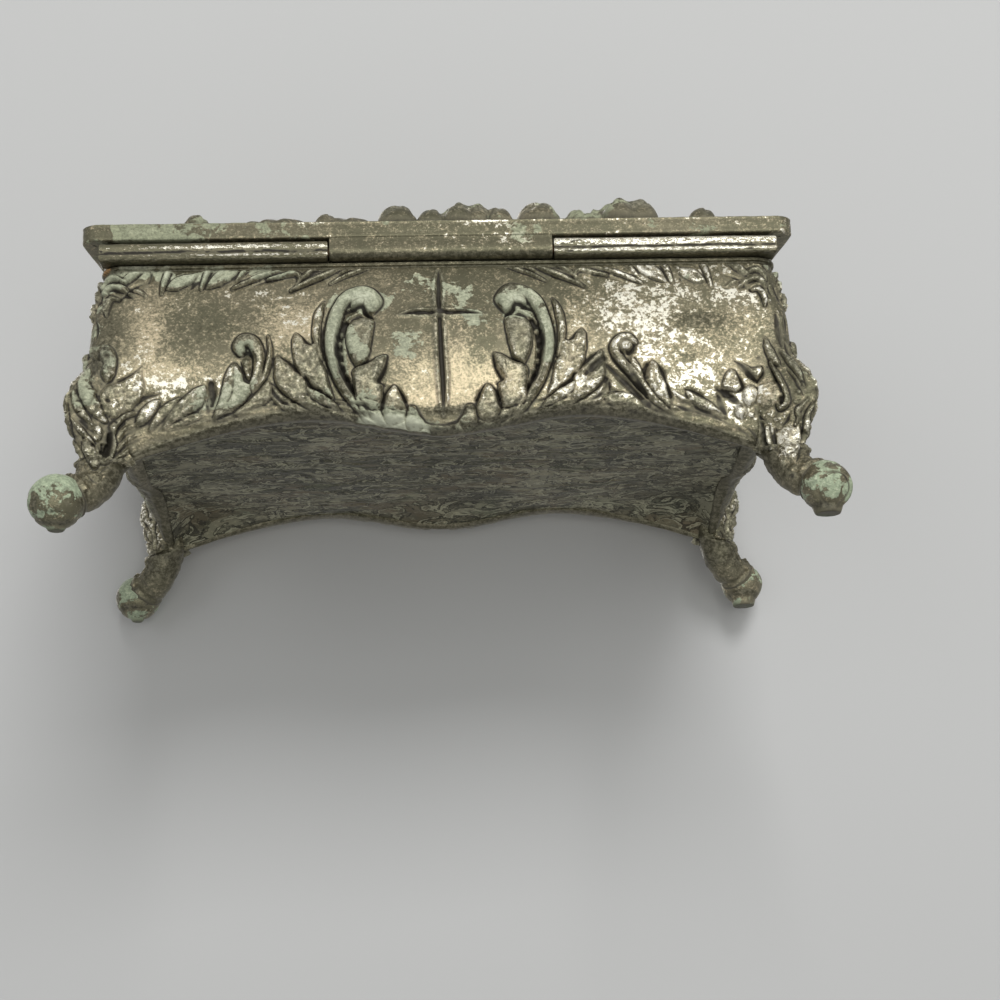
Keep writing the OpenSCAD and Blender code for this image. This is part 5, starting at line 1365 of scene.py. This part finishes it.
def lid_relief(x, y):
    """Garland of roses, buds and leaves round a middle rosette, and its hollows."""
    h = np.zeros_like(x)
    dirt = np.zeros_like(x)
    base, e = dome(x, y)

    def put(hh, q):
        nonlocal h, dirt
        h = np.maximum(h, hh)
        dirt = np.maximum(dirt, np.exp(-((q - 1.03) / 0.10) ** 2))

    def leaf(cx, cy, ang, l, w, top):
        a = math.radians(ang)
        u = (x - cx) * math.cos(a) + (y - cy) * math.sin(a)
        v = -(x - cx) * math.sin(a) + (y - cy) * math.cos(a)
        s = clamp01(u / l)
        half = (w * 0.62) * np.sin(np.pi * s ** 0.72) ** 1.15 * (1 + 0.10 * np.sin(s * 25)) + 1e-3
        q = np.abs(v) / half + 3.0 * np.maximum(-u, 0) + 3.0 * np.maximum(u - l, 0)
        body = top * np.sqrt(clamp01(1 - q ** 2.2)) * (1.0 - 0.15 * s) * (1 - 0.45 * np.exp(-(v / 0.20) ** 2)) * (1 - 0.22 * (0.5 + 0.5 * np.cos(22 * s - 2.6 * np.abs(v))) * clamp01(q * 3))
        put(body * (q < 1), q)

    for turn in (1, -1):
        for cx, cy, ang, l, w in LEAVES:
            leaf(turn * cx, turn * cy, ang + (0 if turn > 0 else 180), l * 1.05, w * 1.15, 1.25)
        for cx, cy, r in BUDS:
            d = np.hypot(x - turn * cx, y - turn * cy) / r
            a_ = np.arctan2(y - turn * cy, x - turn * cx)
            fold = 0.5 + 0.5 * np.cos(3 * a_ + 5.5 * d + cx)
            body = (0.55 + r * 0.85) * np.sqrt(clamp01(1 - d ** 2)) * (1 - 0.24 * fold ** 3 * clamp01(d * 3))
            put(body * (d < 1), d)
            dirt = np.maximum(dirt, 0.75 * fold ** 8 * clamp01(d * 3) * (d < 1))
        for cx, cy, r in ROSES:
            dx, dy = x - turn * cx, y - turn * cy
            d, a = np.hypot(dx, dy) / r, np.arctan2(dy, dx)
            pet = 1 - 0.15 * (0.5 - 0.5 * np.cos(5 * a)) ** 2
            dd = d / pet
            spiral = 0.5 + 0.5 * np.cos(10 * dd - a)
            body = (0.35 + 0.78 * r) * clamp01(1 - dd ** 2.2) ** 0.5 * (1 - 0.24 * spiral ** 2 * (dd < 0.8)) * (0.84 + 0.16 * np.cos(5 * a) * smooth((dd - 0.35) / 0.3))
            put(body * (dd < 1), dd)
            dirt = np.maximum(dirt, 0.8 * spiral ** 5 * (dd < 0.85))
    r = np.hypot(x, y)
    for k in range(8):
        leaf(0 + 4.2 * math.cos(k * math.pi / 4), 4.2 * math.sin(k * math.pi / 4), 45 * k, 7, 3.6, 1.2)
    q = r / 5.6
    put(1.35 * np.sqrt(clamp01(1 - q ** 4)) * (1 - 0.12 * (0.5 + 0.5 * np.cos(r * 4))) * (q < 1), q)
    q = r / 2.4
    put((1.2 + 1.35 * np.sqrt(clamp01(1 - q ** 2))) * (q < 1), q)
    return np.minimum(base + h, 5.18), clamp01(dirt), e


def lid_piece():
    nx, ny = int(470 * DENS), int(280 * DENS)
    u, v = np.linspace(-1, 1, nx), np.linspace(-1, 1, ny)
    U, Vv = np.meshgrid(u, v, indexing="ij")
    y = np.where(Vv < 0, Vv * (27.2 - 0.9 * wave(U)), Vv * 27.2)
    x = U * (46 - 1.1 * wave(Vv))
    px_, py_ = np.maximum(np.abs(x) - 43.8, 0), np.maximum(np.abs(y) - 25.0, 0)
    kr = np.where(np.hypot(px_, py_) > 2.2, 2.2 / np.maximum(np.hypot(px_, py_), 1e-9), 1.0)
    x = np.where((px_ > 0) & (py_ > 0), np.sign(x) * (43.8 + px_ * kr), x)
    y = np.where((px_ > 0) & (py_ > 0), np.sign(y) * (25.0 + py_ * kr), y)
    hh, dirt, e = lid_relief(x, y)
    z = LID_Z + LID_T + hh
    P = np.stack([x, y, z], -1)
    z = z + (0.06 * value_noise(P.reshape(-1, 3), 0.5, 31, 3) + 0.04 * value_noise(P.reshape(-1, 3), 1.8, 32, 2)).reshape(z.shape) * smooth(e / 0.5)
    top = np.stack([x, y, np.minimum(z, 45.66)], -1)
    # the edge: from the top's border down and inwards, then up into the recess
    idx = np.concatenate([np.stack([np.arange(nx - 1), np.zeros(nx - 1, int)], -1), np.stack([np.full(ny - 1, nx - 1), np.arange(ny - 1)], -1),
                          np.stack([np.arange(nx - 1, 0, -1), np.full(nx - 1, ny - 1)], -1), np.stack([np.zeros(ny - 1, int), np.arange(ny - 1, 0, -1)], -1)])
    bx, by = x[idx[:, 0], idx[:, 1]], y[idx[:, 0], idx[:, 1]]
    n = len(bx)
    cx, cy = np.clip(bx, -44.5, 44.5), np.clip(by, -25.7, 25.7)
    dx, dy = bx - cx, by - cy
    L = np.hypot(dx, dy) + 1e-9
    dx, dy = dx / L, dy / L
    prof = [(0.00, -0.10), (-0.04, -0.30), (0.0, -0.55), (0.0, -0.95), (-0.02, -1.35), (-0.03, -1.6), (0.0, -1.85), (-0.06, -2.05), (-0.2, -2.12), (-0.8, -2.12), (-1.5, -2.12)]
    rows = []
    for off, dz in prof:
        wob = 0.035 * value_noise(np.stack([bx, by, np.full(n, dz * 3)], -1), 0.45, 41, 3)
        rows.append(np.stack([bx + dx * (off + wob - 0.03), by + dy * (off + wob - 0.03), np.full(n, LID_Z + LID_T + dz)], -1))
    rx, ry = np.clip(bx, -41.2, 41.2), np.clip(by, -22.2, 22.2)
    for k in (0.5, 1.0):
        rows.append(np.stack([bx + (rx - bx) * k, by + (ry - by) * k, np.full(n, LID_Z)], -1))
    rows.append(np.stack([rx, ry, np.full(n, LID_Z + 0.7)], -1))
    rows.append(np.stack([rx, ry, np.full(n, LID_Z + 1.5)], -1))
    rows.append(np.stack([rx * 0.6, ry * 0.6, np.full(n, LID_Z + 1.5)], -1))
    nt = nx * ny
    border = idx[:, 0] * ny + idx[:, 1]
    verts = [top.reshape(-1, 3)] + rows
    rings = [border] + [nt + i * n + np.arange(n) for i in range(len(rows))]
    quads = [grid_quads(nx, ny)]
    for a, b in zip(rings[:-1], rings[1:]):
        quads.append(np.stack([a, np.roll(a, -1), np.roll(b, -1), b], -1))
    centre = nt + len(rows) * n
    verts.append(np.array([[0, 0, LID_Z + 1.5]]))
    tri = np.stack([rings[-1], np.roll(rings[-1], -1), np.full(n, centre)], -1)
    V = np.concatenate(verts)
    # knuckle of the hinge under the back edge
    ns, npf = int(240 * DENS), 30
    half = 14.35
    s = np.concatenate([[-half, -half + 0.04], np.linspace(-half + 0.15, half - 0.15, ns), [half - 0.04, half]])
    a = np.radians(np.linspace(180, 360, 17))
    prof = [(24.8, 38.6), (24.8, 38.0), (24.8, 37.4)] + [(AX_Y + 1.2 * math.cos(t), AX_Z + 1.2 * math.sin(t)) for t in a] + [(27.15, 37.3), (27.05, 37.8), (27.02, 38.2), (27.02, 38.6)]
    prof = np.array(prof)
    cen = prof.mean(0)
    K = []
    for x0 in s:
        endk = 1.0 if half - abs(x0) > 0.1 else (0.93 if half - abs(x0) < 0.01 else 0.985)
        q = cen + (prof - cen) * endk
        w = 1 + 0.012 * value_noise(np.stack([np.full(len(q), x0), q[:, 0], q[:, 1]], -1), 0.5, 51, 3)
        q = cen + (q - cen) * w[:, None]
        K.append(np.stack([np.full(len(q), x0), q[:, 0], q[:, 1]], -1))
    K = np.array(K)
    m_, l_ = K.shape[:2]
    off = len(V)
    quads2 = grid_quads(m_, l_, wrap_n=True) + off
    caps = np.stack([off + np.arange(l_), off + (m_ - 1) * l_ + np.arange(l_)])
    V = np.concatenate([V, K.reshape(-1, 3)])
    cav = np.zeros(len(V)); tp = np.zeros(len(V))
    cav[:nt] = np.clip(0.75 * dirt.ravel() + 0.55 * np.exp(-((e.ravel() - 0.95) / 0.15) ** 2), 0, 1)
    tp[:nt] = clamp01((hh.ravel() - 2.6) / 1.5)
    for i, (off_, dz) in enumerate([(0.00, -0.10), (-0.04, -0.30), (0.0, -0.55), (0.0, -0.95), (-0.02, -1.35), (-0.03, -1.6)]):
        cav[nt + i * n: nt + (i + 1) * n] = (0.0, 0.35, 0.15, 0, 0.25, 0.3)[i]
    A = wear_attrs(V[:, 0], V[:, 1], V[:, 2], cav, tp, np.zeros(len(V)))
    A["sage"] = A["sage"] + 0.3
    rim_ = (np.arange(len(V)) >= nt) * (np.arange(len(V)) < nt + 8 * n)
    A["worn"] = A["worn"] + rim_ * (0.35 * smooth((V[:, 2] - 39.6) / 0.6) + 0.45 * value_noise(V * np.array([0.5, 0.5, 1.0]), 0.25, 67, 3) - 0.25 * (V[:, 1] > 26) * smooth((V[:, 0] - 22) / 8))
    A["dark"] = A["dark"] + 0.8 * (V[:, 2] < 38.3) * smooth((36.6 - V[:, 2]) / 0.6) * (np.arange(len(V)) >= off) + 0.25
    ob = make_object("lid.top", V, [np.concatenate(quads), quads2, tri, caps], A, M_LID, "lid", ("lid",))
    return orient(ob)


print("lid")
lid_piece()


# ----------------------------------------------------------------- hinge bars
def bar_piece(sign, node):
    x0, x1, r = 14.55, 43.5, 0.45
    y0, y1, z0, z1 = WALL_BACK, 27.2, 35.5, 37.98
    ns = int(300 * DENS)
    s = np.concatenate([[x0, x0 + 0.03], np.linspace(x0 + 0.12, x1 - 0.12, ns), [x1 - 0.03, x1]])
    arc = np.radians(np.linspace(0, 90, 9))
    prof = [(y0, z1), (y0, (z0 + z1) / 2), (y0, z0)]
    prof += [(y, z0) for y in np.linspace(y0 + 0.5, y1 - r - 0.1, 4)]
    prof += [(y1 - r + r * math.sin(t), z0 + r - r * math.cos(t)) for t in arc]
    prof += [(y1, z) for z in np.linspace(z0 + r + 0.1, z1 - r - 0.1, 10)]
    prof += [(y1 - r + r * math.cos(t), z1 - r + r * math.sin(t)) for t in arc]
    prof += [(y, z1) for y in np.linspace(y1 - r - 0.1, y0 + 0.5, 5)]
    prof = np.array(prof)
    cen = prof.mean(0)
    nrm = prof - cen
    nrm /= np.linalg.norm(nrm, axis=1, keepdims=True)
    K = []
    for x in s:
        d = min(x - x0, x1 - x)
        k = 1 - 0.10 * math.sqrt(max(0.0, 1 - min(1.0, d / 0.12)))
        q = cen + (prof - cen) * k
        P = np.stack([np.full(len(q), x * sign), q[:, 0], q[:, 1]], -1)
        w = 0.045 * value_noise(P, 0.35, 61, 3) + 0.02 * value_noise(P * np.array([1, 3, 3.0]), 1.5, 62, 2)
        # a shallow valley along the visible face
        front = clamp01((q[:, 0] - 26.6) / 0.5)
        w = w - 0.10 * front * np.exp(-((q[:, 1] - 36.9) / 0.35) ** 2) - 0.02
        q = q + nrm * w[:, None]
        K.append(np.stack([np.full(len(q), x * sign), q[:, 0], q[:, 1]], -1))
    K = np.array(K)
    m_, l_ = K.shape[:2]
    V = K.reshape(-1, 3)
    low = smooth((36.15 - V[:, 2]) / 0.3)
    caps = np.stack([np.arange(l_), (m_ - 1) * l_ + np.arange(l_)])
    zg = 36.62 + 0.16 * value_noise(V * np.array([1, 0, 0]), 0.22, 64, 3)
    brk = value_noise(V * np.array([1, 1, 2.5]), 0.9, 65, 4, 0.6)
    cav = clamp01(1.05 * np.exp(-((V[:, 2] - zg) / (0.26 if sign < 0 else 0.34)) ** 2) * (0.85 + 0.9 * brk)) * (V[:, 1] > 26.5)
    cav = np.maximum(cav, clamp01(-brk * 2.6 - 0.55) * (V[:, 1] > 26.5))
    if sign > 0:
        cav = np.maximum(cav, clamp01(smooth((V[:, 2] - 37.55) / 0.25) * (0.65 + 0.9 * brk)) * 0.8 * (V[:, 1] > 26.5))
    A = wear_attrs(V[:, 0], V[:, 1], V[:, 2], cav, np.zeros(len(V)), np.zeros(len(V)))
    A["worn"] = (0.75 if sign < 0 else 0.0) + 0.6 * value_noise(V, 0.12, 63, 2)
    # bright bands along the upper and lower rounded edges of the face: wear there, with painted highlight
    A["worn"] += 0.7 * np.exp(-((V[:, 2] - (37.60 if sign < 0 else 37.25)) / 0.20) ** 2) + 0.9 * np.exp(-((V[:, 2] - 36.12) / 0.16) ** 2) - 0.6 * (sign > 0) * smooth((V[:, 0] - 34) / 8)
    # painted shade on the bar's underside and its lower rounded edge
    A["dark"] = A["dark"] + 0.8 * low
    A["worn"] -= 0.8 * low
    ob = make_object("hinge.bar." + ("right" if sign > 0 else "left"), V, [grid_quads(m_, l_, wrap_n=True), caps], A, M_BAR, "box", (node,))
    return orient(ob)


print("hinge bars, bottom, soft pieces")
bar_piece(1, "hinge_bar_right")
bar_piece(-1, "hinge_bar_left")


# -------------------------------------------------------------------- bottom
def plate_piece():
    nx, ny = int(420 * DENS), int(240 * DENS)
    u, v = np.linspace(-1, 1, nx), np.linspace(-1, 1, ny)
    U, Vv = np.meshgrid(u, v, indexing="ij")
    X, Y = U * IX, Vv * IY
    # round the corners
    cx, cy = np.maximum(np.abs(X) - (IX - 1), 0), np.maximum(np.abs(Y) - (IY - 1), 0)
    d = np.hypot(cx, cy)
    k = np.where(d > 1, 1 / np.maximum(d, 1e-9), 1.0)
    X = np.sign(X) * (np.minimum(np.abs(X), IX - 1) + cx * k)
    Y = np.sign(Y) * (np.minimum(np.abs(Y), IY - 1) + cy * k)
    P = np.stack([X * 0.45, Y * 1.3, 0 * X], -1).reshape(-1, 3)
    a = (1 - clamp01((IY - np.abs(Y)) / 6.5)) ** 2
    b = (1 - clamp01((IX - np.abs(X)) / 6.5)) ** 2
    skirt = np.maximum(0, np.maximum((PLATE_Z - long_edge(X) - 0.35) * a, (PLATE_Z - end_edge(Y) - 0.35) * b))
    waves = (0.20 * value_noise(P, 0.32, 71, 3) + 0.15 * value_noise(P, 1.1, 72, 4, 0.6)).reshape(X.shape)
    zb = PLATE_Z - skirt + 0.1 + waves
    zt = np.full_like(X, PLATE_Z + PLATE_T)
    bot = np.stack([X, Y, zb], -1).reshape(-1, 3)
    topv = np.stack([X, Y, zt], -1).reshape(-1, 3)
    n0 = nx * ny
    idx = np.concatenate([np.stack([np.arange(nx - 1), np.zeros(nx - 1, int)], -1), np.stack([np.full(ny - 1, nx - 1), np.arange(ny - 1)], -1),
                          np.stack([np.arange(nx - 1, 0, -1), np.full(nx - 1, ny - 1)], -1), np.stack([np.zeros(ny - 1, int), np.arange(ny - 1, 0, -1)], -1)])
    b = idx[:, 0] * ny + idx[:, 1]
    side = np.stack([b, np.roll(b, -1), np.roll(b, -1) + n0, b + n0], -1)
    # the top is plain: it lies under the cushion
    V = np.concatenate([bot, topv])
    cav = np.zeros(len(V))
    cav[:n0] = clamp01(waves.ravel() * 3.5) * 0.7
    A = wear_attrs(V[:, 0], V[:, 1], V[:, 2], cav, np.zeros(len(V)), np.zeros(len(V)))
    ob = make_object("bottom", V, [grid_quads(nx, ny), grid_quads(nx, ny, flip=True) + n0, side], A, M_PLATE, "box", ("bottom_plate",))
    return orient(ob)


plate_piece()


# ---------------------------------------------------------------- soft pieces
def cushion_piece(name, x, y, r, z0, h, body, node, up=True, crown=0.9):
    nx, ny = int(150 * DENS), int(90 * DENS)
    U, Vv = np.meshgrid(np.linspace(-1, 1, nx), np.linspace(-1, 1, ny), indexing="ij")
    X, Y = U * x, Vv * y
    cx, cy = np.maximum(np.abs(X) - (x - r), 0), np.maximum(np.abs(Y) - (y - r), 0)
    d = np.hypot(cx, cy)
    k = np.where(d > r, r / np.maximum(d, 1e-9), 1.0)
    X = np.sign(X) * (np.minimum(np.abs(X), x - r) + cx * k)
    Y = np.sign(Y) * (np.minimum(np.abs(Y), y - r) + cy * k)
    e = np.minimum(x - np.abs(X), y - np.abs(Y))
    P = np.stack([X, Y, 0 * X], -1).reshape(-1, 3)
    edge = np.sqrt(clamp01(1 - (1 - clamp01(e / 1.6)) ** 2))
    body_h = (h - crown) * edge + crown * np.sqrt(clamp01(np.minimum((1 - (X / x) ** 2), (1 - (Y / y) ** 2) * 1.4))) * edge
    wr = (0.10 * value_noise(P, 0.22, 81, 3) + 0.05 * value_noise(P, 0.7, 82, 3)).reshape(X.shape) * edge
    hz = np.minimum(body_h + wr - 0.05, h)
    zt = z0 + hz if up else z0 - hz
    n0 = nx * ny
    V = np.concatenate([np.stack([X, Y, zt], -1).reshape(-1, 3), np.stack([X, Y, np.full_like(X, z0)], -1).reshape(-1, 3)])
    idx = np.concatenate([np.stack([np.arange(nx - 1), np.zeros(nx - 1, int)], -1), np.stack([np.full(ny - 1, nx - 1), np.arange(ny - 1)], -1),
                          np.stack([np.arange(nx - 1, 0, -1), np.full(nx - 1, ny - 1)], -1), np.stack([np.zeros(ny - 1, int), np.arange(ny - 1, 0, -1)], -1)])
    b = idx[:, 0] * ny + idx[:, 1]
    side = np.stack([b, np.roll(b, -1), np.roll(b, -1) + n0, b + n0], -1)
    V[b, 2] = z0 + (0.12 if up else -0.12)
    ob = make_object(name, V, [grid_quads(nx, ny), grid_quads(nx, ny, flip=True) + n0, side], {}, M_VELVET, body, (node,))
    orient(ob)
    return ob


def lining_piece():
    """Cloth-covered card round the inside of the walls, a little padded."""
    z0, z1, th = PLATE_Z + PLATE_T + 0.02, PLATE_Z + PLATE_T + 20.02, 0.8
    x, y, r = IX - 0.1, IY - 0.1, 1.2
    corners = [(x - r, y - r, 0), (-(x - r), y - r, 90), (-(x - r), -(y - r), 180), (x - r, -(y - r), 270)]
    path, nrm = [], []
    for i, (cx, cy, a0) in enumerate(corners):
        for a in np.radians(np.linspace(a0, a0 + 90, 10)):
            path.append((cx + r * math.cos(a), cy + r * math.sin(a))); nrm.append((math.cos(a), math.sin(a)))
        nx_, ny_, _ = corners[(i + 1) % 4]
        a = math.radians(a0 + 90)
        p0, p1 = np.array(path[-1]), np.array((nx_ + r * math.cos(a), ny_ + r * math.sin(a)))
        m = int(np.linalg.norm(p1 - p0) / (0.5))
        for k in range(1, m):
            path.append(tuple(p0 + (p1 - p0) * k / m)); nrm.append((math.cos(a), math.sin(a)))
    path, nrm = np.array(path), np.array(nrm)
    zs = np.linspace(z0, z1, 40)
    loop = []
    for zz in zs[::-1]:
        loop.append((0.0, zz))
    for zz in zs:
        t = (zz - z0) / (z1 - z0)
        puff = th * 0.55 + th * 0.45 * (1 - (2 * t - 1) ** 6)
        loop.append((puff, zz))
    loop.append((0.35 * th, z1 + 0.0))
    V = []
    for p, n_ in zip(path, nrm):
        for off, zz in loop:
            V.append((p[0] - n_[0] * off, p[1] - n_[1] * off, zz))
    V = np.array(V).reshape(len(path), len(loop), 3)
    w = (0.05 * value_noise(V.reshape(-1, 3), 0.35, 91, 3)).reshape(V.shape[:2])
    inner = np.array([1.0 if o > 0.4 * th else 0.0 for o, _ in loop])
    V[..., :2] += nrm[:, None, :] * (w * inner[None, :])[..., None]
    ob = make_object("lining", V.reshape(-1, 3), [grid_quads(V.shape[0], V.shape[1], wrap_m=True, wrap_n=True)], {}, M_VELVET, "box", ("wall_lining",))
    orient(ob)
    return ob


cushion_piece("cushion.floor", 39.65, 21.55, 2.0, PLATE_Z + PLATE_T + 0.02, 2.4, "box", "floor_cushion", up=True)
cushion_piece("cushion.lid", 40.3, 21.9, 2.0, 39.86, 2.1, "lid", "lid_cushion", up=False, crown=0.8)
lining_piece()
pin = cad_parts["hinge_pin"]
for s_ in pin.material_slots:
    s_.material = M_PIN
if not pin.material_slots:
    pin.data.materials.append(M_PIN)


# -------------------------------------------------------------------- studio
def one_sided(name, colour, fade=None):
    """A matt surface seen from its front only."""
    mat = bpy.data.materials.new(name)
    mat.use_nodes = True
    nt = mat.node_tree
    nt.nodes.clear()
    out = nt.nodes.new("ShaderNodeOutputMaterial")
    geo = nt.nodes.new("ShaderNodeNewGeometry")
    clear = nt.nodes.new("ShaderNodeBsdfTransparent")
    diff = nt.nodes.new("ShaderNodeBsdfDiffuse")
    diff.inputs["Color"].default_value = (*colour, 1)
    mx = nt.nodes.new("ShaderNodeMixShader")
    nt.links.new(geo.outputs["Backfacing"], mx.inputs[0])
    nt.links.new(diff.outputs[0], mx.inputs[1])
    nt.links.new(clear.outputs[0], mx.inputs[2])
    nt.links.new(mx.outputs[0], out.inputs[0])
    return mat


def plane(name, centre, normal, size, mat):
    me = bpy.data.meshes.new(name)
    s = size / 2
    me.from_pydata([(-s, -s, 0), (s, -s, 0), (s, s, 0), (-s, s, 0)], [], [(0, 1, 2, 3)])
    me.materials.append(mat)
    ob = bpy.data.objects.new(name, me)
    scene.collection.objects.link(ob)
    ob.matrix_world = Matrix.Translation(centre) @ Vector(normal).to_track_quat("Z", "Y").to_matrix().to_4x4()
    ob.visible_diffuse = ob.visible_glossy = ob.visible_shadow = ob.visible_transmission = False
    return ob


tilt = math.atan2(4.9, 36.4)
plane("paper.back", (0, -0.0322 + 0.0039 * math.tan(tilt) * 0, 0.0039), (0, math.cos(tilt), -math.sin(tilt)), 24.0, one_sided("paper back", (0.375, 0.3765, 0.379)))
plane("paper.floor", (0, 0, 0), (0, 0, 1), 24.0, one_sided("paper floor", (0.375, 0.3765, 0.379)))

world = bpy.data.worlds.new("studio")
scene.world = world
world.use_nodes = True
wn = world.node_tree
wn.nodes["Background"].inputs[0].default_value = (1.0, 0.995, 0.985, 1)
wn.nodes["Background"].inputs[1].default_value = 0.46


def softbox(name, direction, distance, size, power, colour=(1, 1, 1), spread=180):
    """A square area light aimed at the casket; direction is where it stands."""
    li = bpy.data.lights.new(name, "AREA")
    li.shape = "RECTANGLE"
    li.size, li.size_y = size if isinstance(size, tuple) else (size, size)
    li.energy = power
    li.color = colour
    ob = bpy.data.objects.new(name, li)
    scene.collection.objects.link(ob)
    d = Vector(direction).normalized()
    ob.location = d * distance + Vector((0, 0, 0.022))
    ob.rotation_euler = d.to_track_quat("Z", "Y").to_euler()
    return ob


softbox("key", (-0.22, 0.97, 0.05), 0.8, (0.22, 0.42), 1.15, (0.985, 1.0, 0.95))
softbox("near", (0.0, 0.97, -0.25), 0.8, (0.60, 0.16), 1.0, (0.985, 0.985, 0.90))
sky = softbox("sky", (-0.15, 0.83, 0.52), 0.9, (0.34, 0.30), 7.0, (1.0, 1.0, 0.99))
sky.visible_glossy = False
softbox("side", (-0.50, 0.75, 0.42), 0.9, (0.4, 0.4), 0.9, (1.0, 0.99, 0.96))
softbox("fill", (0.55, 0.82, 0.12), 0.9, (0.4, 0.4), 0.8, (0.97, 0.99, 1.0))
softbox("front", (0.35, -0.9, 0.45), 0.9, 0.6, 3.0, (1.0, 0.98, 0.95))
